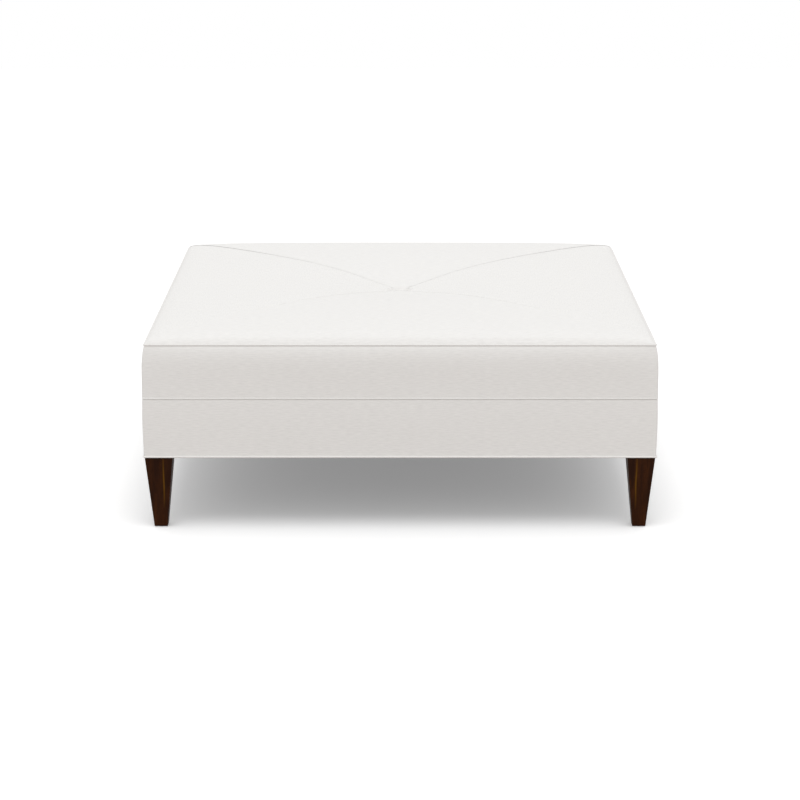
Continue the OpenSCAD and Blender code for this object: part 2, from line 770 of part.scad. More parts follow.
module dust_cover() {
  half_w = body_w / 2 - dust_in;
  half_d = body_d / 2 - dust_in;
  notch_x = leg_x - leg_top_w / 2 - dust_leg_gap;
  notch_y = leg_y - leg_top_w / 2 - dust_leg_gap;
  color(black_cloth_color) translate([0, 0, leg_z1 - dust_t]) linear_extrude(dust_t) polygon([
    [-notch_x, -half_d], [notch_x, -half_d], [notch_x, -notch_y], [half_w, -notch_y],
    [half_w, notch_y], [notch_x, notch_y], [notch_x, half_d], [-notch_x, half_d],
    [-notch_x, notch_y], [-half_w, notch_y], [-half_w, -notch_y], [-notch_x, -notch_y]
  ]);
}

// Staple with its crown along x, its top on z = 0, and its legs pointing up
module staple() {
  translate([-staple_w / 2, -staple_wire_w / 2, -staple_wire_t]) {
    cube([staple_w, staple_wire_w, staple_wire_t]);
    for (x = [0, staple_w - staple_wire_t])
      translate([x, 0, 0]) cube([staple_wire_t, staple_wire_w, staple_leg + staple_wire_t]);
  }
}

module dust_cover_staples() {
  color(steel_color) for (side = [0 : 3]) on_side(side) {
    row_half = side_width(side) / 2 - leg_inset - leg_top_w - 2 * staple_w;
    row_y = -side_depth(side) / 2 + frame_in + rail_t / 2;
    for (k = [0 : staples_per_side - 1])
      translate([row_half * (2 * k / (staples_per_side - 1) - 1), row_y, leg_z1 - dust_t]) staple();
  }
}

leg(-1, -1);  // leg_front_left
leg(1, -1);  // leg_front_right
leg(-1, 1);  // leg_back_left
leg(1, 1);  // leg_back_right
glide(-1, -1);  // glide_front_left
glide(1, -1);  // glide_front_right
glide(-1, 1);  // glide_back_left
glide(1, 1);  // glide_back_right
hanger_bolts();
threaded_inserts();
corner_block(-1, -1);  // corner_block_front_left
corner_block(1, -1);  // corner_block_front_right
corner_block(-1, 1);  // corner_block_back_left
corner_block(1, 1);  // corner_block_back_right
corner_block_screws();
long_rail(-1);  // rail_front
long_rail(1);  // rail_back
side_rail(-1);  // rail_left
side_rail(1);  // rail_right
cross_rail();
rail_dowels();
webbing_side_to_side();
webbing_front_to_back();
hessian();
foam_core();
crown_pad();
cushion_wadding();
base_wadding();
boxing(0);  // boxing_front
boxing(2);  // boxing_back
boxing(3);  // boxing_left
boxing(1);  // boxing_right
base_band(0);  // base_band_front
base_band(2);  // base_band_back
base_band(3);  // base_band_left
base_band(1);  // base_band_right
top_panel(0);  // top_panel_front
top_panel(2);  // top_panel_back
top_panel(3);  // top_panel_left
top_panel(1);  // top_panel_right
piping(top_piping_in + piping_d / 2, top_piping_z);  // top_piping
piping(piping_d / 2 - mid_piping_out, middle_piping_z);  // middle_piping
piping(piping_d / 2 - bottom_piping_out, bottom_piping_z);  // bottom_piping
tack_strips();
button_cap();
button_back();
tuft_twine();
tuft_washer();
dust_cover();
dust_cover_staples();
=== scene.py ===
"""Looks of the square upholstered ottoman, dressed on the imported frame. Everything is in metres."""

import json
import math

import bmesh
import bpy
import numpy as np
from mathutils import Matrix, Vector

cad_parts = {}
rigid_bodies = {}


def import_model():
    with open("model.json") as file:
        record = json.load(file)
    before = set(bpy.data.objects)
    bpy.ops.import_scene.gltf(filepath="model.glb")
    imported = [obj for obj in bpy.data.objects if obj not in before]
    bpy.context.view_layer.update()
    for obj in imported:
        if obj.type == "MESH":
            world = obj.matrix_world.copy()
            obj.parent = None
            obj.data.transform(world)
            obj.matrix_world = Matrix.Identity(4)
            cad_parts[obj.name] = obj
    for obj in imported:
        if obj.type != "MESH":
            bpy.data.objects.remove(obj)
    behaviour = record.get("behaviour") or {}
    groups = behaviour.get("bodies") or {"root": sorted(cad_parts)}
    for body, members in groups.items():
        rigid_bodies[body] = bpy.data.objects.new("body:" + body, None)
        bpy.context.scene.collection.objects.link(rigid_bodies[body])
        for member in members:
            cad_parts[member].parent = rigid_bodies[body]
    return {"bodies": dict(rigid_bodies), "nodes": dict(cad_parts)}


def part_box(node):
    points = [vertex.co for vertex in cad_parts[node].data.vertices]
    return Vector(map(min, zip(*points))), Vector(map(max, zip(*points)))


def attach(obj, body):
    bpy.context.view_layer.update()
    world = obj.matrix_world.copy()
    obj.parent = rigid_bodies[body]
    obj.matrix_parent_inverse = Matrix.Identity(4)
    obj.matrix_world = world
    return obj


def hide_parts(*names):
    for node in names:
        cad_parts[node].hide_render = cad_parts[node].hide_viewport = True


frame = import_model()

scene = bpy.context.scene
frame_objects = [*frame["nodes"].values(), *frame["bodies"].values()]
for start_up in [thing for thing in bpy.data.objects if thing not in frame_objects]:
    bpy.data.objects.remove(start_up)
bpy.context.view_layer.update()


# Legs
# Four square-tapered walnut legs, stained a deep brown and lacquered. A hanger bolt turns each one
# into the corner block above it. The frame's own solids have the right shape and get the finish.

walnut_light = (0.046, 0.0125, 0.0018, 1)
walnut_dark = (0.018, 0.0042, 0.0006, 1)
# Painted highlight: the golden colour, then the place, width, waver and ends of a lighter line on each leg
# face that stands in for light caught by the eased edge.
painted_edge_highlight = (0.13, 0.056, 0.003, 1)
highlight_place = 0.5625
highlight_half_w = 0.0028
highlight_waver = 0.008
highlight_foot = (0.045, 0.1)
highlight_head = (0.13, 0.17)
highlight_faint = 0.35


def feed(tree, node, inputs):
    """Feeds a node's named inputs, each from a socket or with a plain value."""
    for name, value in inputs.items():
        if isinstance(value, bpy.types.NodeSocket):
            tree.links.new(value, node.inputs[name])
        else:
            node.inputs[name].default_value = value


def put(tree, kind, inputs=None, out=0, **settings):
    """Adds a shader node with its settings and inputs, and returns the output socket asked for."""
    made = tree.nodes.new("ShaderNode" + kind)
    for name, value in settings.items():
        setattr(made, name, value)
    feed(tree, made, inputs or {})
    return made.outputs[out]


def math_node(tree, operation, a, b=0.0):
    return put(tree, "Math", {0: a, 1: b}, operation=operation)


def plus(tree, a, b):
    return math_node(tree, "ADD", a, b)


def minus(tree, a, b):
    return math_node(tree, "SUBTRACT", a, b)


def times(tree, a, b):
    return math_node(tree, "MULTIPLY", a, b)


def size_of(tree, a):
    return math_node(tree, "ABSOLUTE", a)


def noise(tree, place, scale, detail, **more):
    """Noise with so many waves in a metre of place. more holds its other inputs by name."""
    return put(tree, "TexNoise", {"Vector": place, "Scale": scale, "Detail": detail, **more})


def stretched(tree, place, by):
    return put(tree, "VectorMath", {0: place, 1: by}, operation="MULTIPLY")


def along_axes(tree, place):
    return put(tree, "SeparateXYZ", {0: place}).node.outputs


def spread(tree, value, low, high, to_low, to_high):
    """Value moved from the range low to high into the range to_low to to_high, and held inside it."""
    limits = {"From Min": low, "From Max": high, "To Min": to_low, "To Max": to_high}
    return put(tree, "MapRange", {"Value": value, **limits})


def blended(tree, share, a, b, blend_type="MIX"):
    """Colours a and b mixed by share."""
    return put(tree, "Mix", {0: share, 6: a, 7: b}, out=2, data_type="RGBA", blend_type=blend_type)


def new_group(name, inputs, outputs):
    """Empty node group with named inputs, each with its kind and first value, and named outputs."""
    tree = bpy.data.node_groups.new(name, "ShaderNodeTree")
    for label, kind, value in inputs:
        socket = tree.interface.new_socket(label, in_out="INPUT", socket_type="NodeSocket" + kind)
        if value is not None:
            socket.default_value = value
    for label, kind in outputs:
        tree.interface.new_socket(label, in_out="OUTPUT", socket_type="NodeSocket" + kind)
    return tree, tree.nodes.new("NodeGroupInput").outputs, tree.nodes.new("NodeGroupOutput").inputs


def place_group(tree, group, inputs):
    """Places a node group in a material, feeds its inputs and returns its outputs."""
    made = tree.nodes.new("ShaderNodeGroup")
    made.node_tree = group
    feed(tree, made, inputs)
    return made.outputs


def new_material(name, **plain):
    """Material with one Principled BSDF, whose sockets are set by name, with spaces as underscores.
    Returns the material and its node tree."""
    material = bpy.data.materials.new(name)
    material.use_nodes = True
    shader = material.node_tree.nodes["Principled BSDF"]
    for label, value in plain.items():
        shader.inputs[label.replace("_", " ")].default_value = value
    return material, material.node_tree


def finish_with(tree, height=None, strength=1.0, distance=0.001, **sockets):
    """Feeds the Principled BSDF's named sockets, and its normal from a bump of the given height."""
    shader = tree.nodes["Principled BSDF"]
    for label, value in sockets.items():
        tree.links.new(value, shader.inputs[label.replace("_", " ")])
    if height is not None:
        bump = {"Strength": strength, "Distance": distance, "Height": height}
        tree.links.new(put(tree, "Bump", bump), shader.inputs["Normal"])


def colour_over(tree, share, colour):
    """Blends a colour by share over the base colour that a material already has."""
    base = tree.nodes["Principled BSDF"].inputs["Base Color"].links[0].from_socket
    finish_with(tree, Base_Color=blended(tree, share, base, colour))


def object_place(tree):
    return put(tree, "TexCoord", out="Object")


def wear(nodes, material):
    """Gives a material to solids of the frame, which keep their shape."""
    for name in nodes:
        solid = frame["nodes"][name]
        solid.data.materials.clear()
        solid.data.materials.append(material)


def make_wood_grain():
    """Node group of sawn wood: a noise drawn out along the grain blends the light and the dark
    colour, and a finer one cuts dark pores, which also lie lower."""
    tree, given, result = new_group(
        "wood_grain",
        [("Place", "Vector", None), ("Stretch", "Vector", (1, 1, 0.07)),
         ("Light", "Color", None), ("Dark", "Color", None), ("Pores", "Float", 0.5)],
        [("Color", "Color"), ("Height", "Float")],
    )
    drawn = stretched(tree, given["Place"], given["Stretch"])
    figure = noise(tree, drawn, 85, 5, Distortion=0.7)
    fibre = noise(tree, drawn, 620, 3, Roughness=0.6)
    band = spread(tree, figure, 0.36, 0.66, 0, 1)
    line = spread(tree, fibre, 0.3, 0.7, 0, 1)
    light_share = times(tree, band, spread(tree, line, 0, 1, 0.7, 1))
    wood = blended(tree, light_share, given["Dark"], given["Light"])
    pore = times(tree, spread(tree, fibre, 0.34, 0.42, 1, 0), given["Pores"])
    tree.links.new(blended(tree, pore, wood, given["Dark"]), result["Color"])
    height = minus(tree, times(tree, line, 0.35), pore)
    tree.links.new(height, result["Height"])
    return tree


wood_grain = make_wood_grain()


def wood_material(name, stretch, light, dark, pores, **plain):
    material, tree = new_material(name, **plain)
    look = {"Place": object_place(tree), "Stretch": stretch, "Light": light, "Dark": dark, "Pores": pores}
    grain = place_group(tree, wood_grain, look)
    rough = spread(tree, grain["Height"], -0.6, 0.4, 0.5, 0.36)
    finish_with(tree, grain["Height"], 0.25, 0.0004, Base_Color=grain["Color"], Roughness=rough)
    return material


def add_painted_highlight(material):
    """Painted highlight: a lighter golden line along each face of a leg, near its inner edge, where
    light catches the eased edge. It wavers and dies out at its ends.
    """
    tree = material.node_tree
    place = object_place(tree)
    split = along_axes(tree, place)
    waver = times(tree, noise(tree, stretched(tree, place, (14, 14, 9)), 1, 2), highlight_waver)
    middle = plus(tree, highlight_place - highlight_waver / 2, waver)
    lines = []
    for axis in "XY":
        off = minus(tree, size_of(tree, split[axis]), middle)
        lines.append(spread(tree, size_of(tree, off), 0, highlight_half_w, 1, 0))
    line = math_node(tree, "MAXIMUM", *lines)
    foot = spread(tree, split["Z"], *highlight_foot, 0, 1)
    ends = times(tree, foot, spread(tree, split["Z"], *highlight_head, 1, highlight_faint))
    # The painted edge highlight is blended over the wood's own colour.
    colour_over(tree, times(tree, line, ends), painted_edge_highlight)


leg_names = [f"leg_{end}_{side}" for end in ("front", "back") for side in ("left", "right")]
walnut = wood_material(
    "stained_walnut", (1, 1, 0.06), walnut_light, walnut_dark, 0.8, Specular_IOR_Level=0.06)
# Paints the edge highlight onto the walnut.
add_painted_highlight(walnut)
wear(leg_names, walnut)


# Glides
# Nail-on glides of moulded grey plastic under the legs, scuffed by the floor on their undersides.

glide_grey = (0.11, 0.108, 0.105, 1)
glide_scuff = (0.2, 0.195, 0.19, 1)
glide_scuff_level = 0.0012


def make_glide_plastic():
    material, tree = new_material("glide_plastic", Specular_IOR_Level=0.45)
    place = object_place(tree)
    scratch = noise(tree, place, 900, 4)
    low = math_node(tree, "LESS_THAN", along_axes(tree, place)["Z"], glide_scuff_level)
    worn = times(tree, low, spread(tree, scratch, 0.42, 0.6, 0, 1))
    colour = blended(tree, worn, glide_grey, glide_scuff)
    rough = spread(tree, worn, 0, 1, 0.42, 0.7)
    finish_with(tree, scratch, 0.15, 0.0002, Base_Color=colour, Roughness=rough)
    return material


glide_names = [name.replace("leg", "glide") for name in leg_names]
wear(glide_names, make_glide_plastic())


# Timber frame
# Rails, cross rail, corner blocks and dowels of kiln-dried beech, glued and screwed. The grain runs
# along each piece, and sawn ends and faces are left bare under the cover.

beech_light = (0.62, 0.43, 0.25, 1)
beech_dark = (0.42, 0.26, 0.13, 1)


def beech(name, stretch):
    return wood_material(name, stretch, beech_light, beech_dark, 0.35, Specular_IOR_Level=0.25)


corner_blocks = [name.replace("leg", "corner_block") for name in leg_names]
wear(["rail_front", "rail_back", *corner_blocks], beech("beech_along_x", (0.05, 1, 1)))
wear(["rail_left", "rail_right", "cross_rail", "rail_dowels"],
     beech("beech_along_y", (1, 0.05, 1)))


# Steel fittings
# Zinc-plated hanger bolts, threaded inserts, screws and staples, and the plate and loop of the
# button. The plating is dull, with fine drawn lines and a faint blotch where it has oxidised.

zinc_bright = (0.62, 0.63, 0.65, 1)
zinc_dull = (0.42, 0.42, 0.43, 1)


def make_zinc_plate():
    material, tree = new_material("zinc_plate", Metallic=1.0)
    place = object_place(tree)
    blotch = noise(tree, place, 240, 4)
    lines = noise(tree, place, 1800, 2)
    colour = blended(tree, spread(tree, blotch, 0.4, 0.65, 0, 1), zinc_bright, zinc_dull)
    rough = spread(tree, blotch, 0.3, 0.7, 0.28, 0.5)
    finish_with(tree, lines, 0.1, 0.0001, Base_Color=colour, Roughness=rough)
    return material


wear(["hanger_bolts", "threaded_inserts", "corner_block_screws", "button_back", "dust_cover_staples"],
     make_zinc_plate())


# Tack strips
# Strips of grey-brown board that give the fold under the middle piping a straight edge.

board_brown = (0.42, 0.31, 0.2, 1)
board_fleck = (0.26, 0.18, 0.11, 1)


def mottled(name, colours, patch, limits, bump, relief=None, place=object_place, **plain):
    """Material of two colours. patch holds the inputs of a noise that brings in the second colour
    between the first two limits, up to the third. bump is the strength and the depth of the surface's
    relief, which is the noise or what the function relief makes of the tree, the place and the noise."""
    material, tree = new_material(name, **plain)
    where = place(tree)
    value = put(tree, "TexNoise", {"Vector": where, **patch})
    low, high, most = limits
    colour = blended(tree, spread(tree, value, low, high, 0, most), *colours)
    finish_with(tree, relief(tree, where, value) if relief else value, *bump, Base_Color=colour)
    return material


pressed_board = mottled(
    "pressed_board", (board_brown, board_fleck), {"Scale": 420, "Detail": 6, "Roughness": 0.7},
    (0.42, 0.62, 0.7), (0.3, 0.0003), Roughness=0.92, Specular_IOR_Level=0.2)
wear(["tack_strips"], pressed_board)


# Washer
# Nylon washer under the straps, which the tufting twine pulls against.

nylon = (0.6, 0.59, 0.55, 1)
nylon_shade = (0.48, 0.47, 0.43, 1)
moulded_nylon = mottled(
    "moulded_nylon", (nylon, nylon_shade), {"Scale": 130, "Detail": 3}, (0.35, 0.65, 1), (0.1, 0.0002),
    Roughness=0.45, Subsurface_Weight=0.1)
wear(["tuft_washer"], moulded_nylon)


# Webbing
# Two layers of woven jute straps, stretched over the frame and through each other, over and under.
# Each strap is a flat band with rounded edges, carried along a wavy line.

rail_t = 0.019
strap_w = 0.05
strap_t = 0.0015
strap_pairs = 4
strap_end = 0.003
strap_flat = 0.029
strap_columns = 320
jute_light = (0.5, 0.37, 0.21, 1)
# jute_dark is the painted shade that the weave puts in the gaps between the jute's and the hessian's
# threads.
jute_dark = (0.34, 0.24, 0.13, 1)
jute_stripe = (0.28, 0.05, 0.035, 1)
jute_thread = 0.0022
stripe_place = 0.0155
stripe_half_w = 0.0022
strap_round = 24
strap_face_power = 0.25
strap_edge_power = 0.5
rail_low, rail_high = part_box("rail_front")
frame_half = rail_high.x
frame_top = rail_high.z


def in_scene(name, data):
    thing = bpy.data.objects.new(name, data)
    scene.collection.objects.link(thing)
    return thing


def add_piece(name, grids, material, nodes=()):
    """Mesh of one or more grids. Each is a tuple: points (rows, columns, 3), their places on the flat
    cloth in metres (rows, columns, 2), which go into the UV map, whether rows and columns run round
    on themselves, and whether the first and the last row are filled. Where a grid runs round, cloth
    has one place more than there are points."""
    points, faces, flat = [], [], []
    start = 0
    for grid, cloth, (rows_round, columns_round), filled in grids:
        index = start + np.arange(grid.shape[0] * grid.shape[1]).reshape(grid.shape[:2])
        start = index.max() + 1
        points.append(grid.reshape(-1, 3))
        if rows_round:
            index = np.concatenate([index, index[:1]])
        if columns_round:
            index = np.concatenate([index, index[:, :1]], axis=1)
        corners = [np.s_[:-1, :-1], np.s_[:-1, 1:], np.s_[1:, 1:], np.s_[1:, :-1]]
        faces += np.stack([index[c] for c in corners], axis=-1).reshape(-1, 4).tolist()
        flat.append(np.stack([cloth[c] for c in corners], axis=2).reshape(-1, 2))
        for is_filled, row, way in ((filled[0], 0, -1), (filled[1], -1, 1)):
            if is_filled:
                ring = index[row, : grid.shape[1]][::way]
                faces.append(ring.tolist())
                flat.append(cloth[row, : grid.shape[1]][::way])
    mesh = bpy.data.meshes.new(name)
    mesh.from_pydata(np.concatenate(points).tolist(), [], faces)
    uv = mesh.uv_layers.new(name="cloth")
    uv.data.foreach_set("uv", np.concatenate(flat).astype(np.float32).ravel())
    mesh.polygons.foreach_set("use_smooth", np.ones(len(mesh.polygons), bool))
    mesh.materials.append(material)
    mesh.update()
    piece = in_scene(name, mesh)
    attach(piece, "root")
    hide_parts(*nodes)
    return piece


def make_plain_weave():
    """Node group of plain-woven cloth with threads of one width. In each cell the warp or the weft
    lies on top, by turns, as a half-round thread that also rises to its middle. Towards the gaps
    between the threads the colour turns to the Shade colour, as painted shade. Slubs are thick
    stretches of the weft, long along u and a few threads high."""
    tree, given, result = new_group(
        "plain_weave",
        [("Place", "Vector", None), ("Thread", "Float", 0.001), ("Colour", "Color", None),
         ("Shade", "Color", None), ("Slub", "Float", 0.3)],
        [("Color", "Color"), ("Height", "Float")],
    )
    count = math_node(tree, "DIVIDE", 1.0, given["Thread"])
    threads = put(tree, "VectorMath", {0: given["Place"], 3: count}, operation="SCALE")
    split = along_axes(tree, threads)
    rib, cell = {}, {}
    for axis in "XY":
        turn = times(tree, split[axis], math.pi)
        rib[axis] = size_of(tree, math_node(tree, "SINE", turn))
        cell[axis] = math_node(tree, "FLOOR", split[axis])
    parity = math_node(tree, "FLOORED_MODULO", plus(tree, cell["X"], cell["Y"]), 2.0)
    warp = times(tree, rib["X"], spread(tree, rib["Y"], 0, 1, 0.45, 1))
    weft = times(tree, rib["Y"], spread(tree, rib["X"], 0, 1, 0.45, 1))
    thread = put(tree, "Mix", {0: parity, 2: warp, 3: weft}, data_type="FLOAT")
    slub = noise(tree, stretched(tree, given["Place"], (55, 430, 1)), 1, 3, Roughness=0.55)
    uneven = times(tree, minus(tree, slub, 0.5), given["Slub"])
    bare = minus(tree, 1.0, thread)
    # Painted shade: the colour darkens towards Shade in the gaps between the threads.
    painted_gap_shade = blended(tree, times(tree, bare, 0.8), given["Colour"], given["Shade"])
    level = plus(tree, uneven, 1.0)
    grey = put(tree, "CombineColor", {0: level, 1: level, 2: level})
    tree.links.new(blended(tree, 1.0, painted_gap_shade, grey, "MULTIPLY"), result["Color"])
    tree.links.new(plus(tree, thread, times(tree, uneven, 1.5)), result["Height"])
    return tree


plain_weave = make_plain_weave()


def cloth_place(tree):
    return put(tree, "UVMap", uv_map="cloth")


def woven_material(name, thread, colour, shade, slub, strength, **plain):
    """Cloth of that thread size, with the weave's colours, slubs and bump."""
    material, tree = new_material(name, **plain)
    look = {"Place": cloth_place(tree), "Thread": thread, "Colour": colour, "Shade": shade, "Slub": slub}
    weave = place_group(tree, plain_weave, look)
    finish_with(tree, weave["Height"], strength, thread * 0.3, Base_Color=weave["Color"])
    return material


def make_jute_webbing():
    material = woven_material(
        "jute_webbing", jute_thread, jute_light, jute_dark, 0.5, 0.6,
        Roughness=0.95, Specular_IOR_Level=0.1)
    tree = material.node_tree
    across = size_of(tree, along_axes(tree, cloth_place(tree))["Y"])
    off_line = minus(tree, across, stripe_place)
    stripe = math_node(tree, "LESS_THAN", size_of(tree, off_line), stripe_half_w)
    colour_over(tree, stripe, jute_stripe)
    return material


def stacked(*parts):
    """Points from their coordinates, which are spread out to one shape."""
    return np.stack(np.broadcast_arrays(*parts), axis=-1)


def turns(count):
    return np.linspace(0, 2 * np.pi, count, endpoint=False)


def on_side(grid, side):
    """Front points turned to side 0 front, 1 right, 2 back or 3 left."""
    cos, sin = ((1, 0), (0, 1), (-1, 0), (0, -1))[side]
    x, y = grid[..., 0], grid[..., 1]
    return stacked(x * cos - y * sin, x * sin + y * cos, grid[..., 2])


def smooth(t):
    """Smooth step from 0 to 1."""
    s = np.clip(t, 0, 1)
    return s * s * (3 - 2 * s)


def strap_band(span, parity, centre, turned):
    """One strap: a flat band whose section is a superellipse, on a line that goes up or down by one
    thickness in a smooth step between its crossings, over one strap and under the next."""
    along = np.linspace(-frame_half + strap_end, frame_half - strap_end, strap_columns)
    pitch = span / (2 * strap_pairs + 1)
    place = along / pitch + strap_pairs
    cell = np.clip(np.floor(place), -1, 2 * strap_pairs).astype(int)
    ramp = smooth((place - cell - strap_flat / pitch) / (1 - 2 * strap_flat / pitch))
    over = [(k + parity + 1) % 2 for k in range(2 * strap_pairs + 1)]
    levels = np.array([0, *over, 0, 0])
    low, high = levels[cell + 1], levels[cell + 2]
    middle = frame_top + strap_t * (0.5 + low + (high - low) * ramp)
    turn = turns(strap_round)
    across = np.sign(np.cos(turn)) * np.abs(np.cos(turn)) ** strap_face_power * strap_w / 2
    proud = np.sign(np.sin(turn)) * np.abs(np.sin(turn)) ** strap_edge_power * strap_t / 2
    grid = stacked(along[:, None], centre + across, middle[:, None] + proud)
    cloth = stacked(along[:, None], np.append(across, across[0]))
    return on_side(grid, int(turned)), cloth, (False, True), (True, True)


jute_webbing = make_jute_webbing()
inner_half = frame_half - rail_t
strap_places = (np.arange(2 * strap_pairs + 1) - strap_pairs) * 2 * inner_half / (2 * strap_pairs + 1)
for layer, turned in (("webbing_side_to_side", False), ("webbing_front_to_back", True)):
    bands = [
        strap_band(2 * inner_half, k + turned, -place if turned else place, turned)
        for k, place in enumerate(strap_places)
    ]
    straps = add_piece(layer + "_straps", bands, jute_webbing, [layer])


# Hessian
# One sheet of coarse open cloth, tacked over the straps so that the foam can't sink between them.

hessian_low, hessian_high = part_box("hessian")
hessian_thread = 0.0026
hessian_cells = 90
loose_edges = ((False, False), (False, False))


def thicken(piece, thickness):
    """Gives an open sheet its thickness, inwards from the side that its faces look to."""
    solid = piece.modifiers.new("thickness", "SOLIDIFY")
    solid.thickness = thickness
    solid.offset = -1
    return piece


hessian_cloth = woven_material(
    "hessian_cloth", hessian_thread, jute_light, jute_dark, 0.7, 0.8,
    Roughness=0.95, Specular_IOR_Level=0.1)
hessian_line = np.linspace(-hessian_high.x, hessian_high.x, hessian_cells)
x, y = np.meshgrid(hessian_line, hessian_line)
hessian_grid = (stacked(x, y, hessian_high.z), stacked(x, y), *loose_edges)
hessian = add_piece("hessian_sheet", [hessian_grid], hessian_cloth, ["hessian"])
thicken(hessian, hessian_high.z - hessian_low.z)


# Foam core
# Block of firm yellowed foam, cut with its sides drawn in like the boxing, with a needle hole in the
# middle that widens at the top for the button's loop. Its mesh goes from round rings to square ones.

foam_low, foam_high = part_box("foam_core")
face_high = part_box("base_band_front")[1]
face_half = face_high.x
cover_t = 0.0012
side_pad = 0.006
draw_in = 0.0065
draw_power = 4
straight_h = 0.008
straight_top = foam_low.z + straight_h
boxing_low, boxing_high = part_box("boxing_front")
foam_light = (0.86, 0.74, 0.44, 1)
foam_dark = (0.6, 0.48, 0.24, 1)
ring_columns = 40
round_to = 0.02
squaring_w = 0.28
needle_r = 0.00175
loop_hole_r = 0.007
loop_hole_depth = 0.011
foam_corner_r = 0.0025
foam_spacing = 0.03


def drawn_in(level):
    """How far a side has drawn in at a level: a power of its height over the straight part."""
    rise = np.clip((level - straight_top) / (boxing_high.z - straight_top), 0, 1)
    return draw_in * rise ** draw_power


def all_round(front, axis=0):
    """Front points and the same ones on the other sides, in one run."""
    return np.concatenate([on_side(front, side) for side in range(4)], axis=axis)


def reach_along(line):
    """Distance of each of a line's points from its start, along the line."""
    return np.append(0, np.cumsum(np.linalg.norm(np.diff(line, axis=0), axis=1)))


def ring_solid(section, squareness):
    """Solid between rings, closed on itself. section holds each ring's half width and level, and the
    ring is a square where squareness is 1 and a circle where it is 0. The columns close up towards
    the corners."""
    across = np.sin(np.pi / 2 * np.linspace(-1, 1, ring_columns, endpoint=False))
    edge = stacked(across, -1)
    unit = edge / np.linalg.norm(edge, axis=-1, keepdims=True)
    half, square = section[:, :1, None], squareness[:, None, None]
    plan = half * (unit * (1 - square) + edge * square)
    grid = all_round(stacked(plan[..., 0], plan[..., 1], section[:, 1:]), axis=1)
    cloth = np.zeros((len(grid) + 1, grid.shape[1] + 1, 2))
    cloth[..., 0] = np.linspace(0, 8 * np.max(half), cloth.shape[1])
    cloth[..., 1] = reach_along(np.append(section, section[:1], axis=0))[:, None]
    return grid, cloth, (True, True), (False, False)


def bent_line(corners, radius, steps=5):
    """Line through the corners, each one but the ends cut by a quadratic curve that starts and ends
    at the given radius from the corner, or halfway to the next one where that is nearer. There is
    one radius for all, or one for each corner that is cut."""
    corners = np.asarray(corners, float)
    line = [corners[:1]]
    t = np.linspace(0, 1, steps)[:, None]
    radii = np.broadcast_to(radius, len(corners) - 2)
    for before, corner, after, bend in zip(corners[:-2], corners[1:-1], corners[2:], radii):
        back, on = before - corner, after - corner
        start = corner + back * min(0.5, bend / np.linalg.norm(back))
        end = corner + on * min(0.5, bend / np.linalg.norm(on))
        line.append((1 - t) ** 2 * start + 2 * t * (1 - t) * corner + t ** 2 * end)
    return np.concatenate(line + [corners[-1:]])


def evenly(line, spacing):
    """The line with points added on its long stretches, at most spacing apart."""
    reach = reach_along(line)
    marks = np.unique(np.round(np.concatenate([reach, np.arange(0, reach[-1], spacing)]), 4))
    marks[-1] = reach[-1]
    return stacked(*(np.interp(marks, reach, values) for values in line.T))


def foam_cells(tree, place, _):
    return put(tree, "TexVoronoi", {"Vector": place, "Scale": 950})


yellowed_foam = mottled(
    "foam", (foam_light, foam_dark), {"Scale": 14, "Detail": 4}, (0.4, 0.65, 1), (0.5, 0.0004), foam_cells,
    Roughness=0.95, Specular_IOR_Level=0.1, Subsurface_Weight=0.1)
foam_half = face_half - side_pad
foam_levels = np.linspace(straight_top, foam_high.z, 8)
foam_side = [(foam_half - drawn_in(level), level) for level in foam_levels]
foam_section = evenly(bent_line(
    [(needle_r, foam_high.z - loop_hole_depth), (needle_r, foam_low.z), (foam_half, foam_low.z)]
    + foam_side + [(loop_hole_r, foam_high.z), (loop_hole_r, foam_high.z - loop_hole_depth)],
    foam_corner_r), foam_spacing)
foam_rings = ring_solid(foam_section, smooth((foam_section[:, 0] - round_to) / squaring_w))
foam = add_piece("foam_block", [foam_rings], yellowed_foam, ["foam_core"])


# Wadding
# Layers of bonded white fibre, a few millimetres thick, wrapped round the foam and the rails so that
# no hard edge shows through the cover. Their surface is uneven and has no threads.

fibre_white = (0.84, 0.84, 0.83, 1)
fibre_shade = (0.66, 0.66, 0.66, 1)
wadding_air = 0.0001
wadding_edge_r = 0.0008
wadding_spacing = 0.01


def fibre_strands(tree, place, clump):
    return plus(tree, clump, times(tree, noise(tree, place, 700, 3, Distortion=3), 0.4))


def uneven(x, y, seed):
    """Low waves of mixed lengths between about -1 and 1, with phases from the seed."""
    wave = 0.5 * np.sin(2 * np.pi * (x / 0.37 + y / 0.23 + 0.37 * seed))
    wave = wave + 0.3 * np.sin(2 * np.pi * (x / 0.171 - y / 0.131 + 0.71 * seed))
    return wave + 0.2 * np.sin(2 * np.pi * (x / 0.083 + y / 0.097 + 0.13 * seed))


def wadding_ring(levels):
    """Closed band of wadding between the rails or foam and the cover, along the drawn-in side."""
    outer = [(face_half - cover_t - wadding_air - drawn_in(level), level) for level in levels]
    inner = [(face_half - side_pad + wadding_air - drawn_in(level), level) for level in levels[::-1]]
    section = evenly(bent_line(outer + inner + outer[:1], wadding_edge_r, 3), wadding_spacing)[:-1]
    return ring_solid(section, np.ones(len(section)))


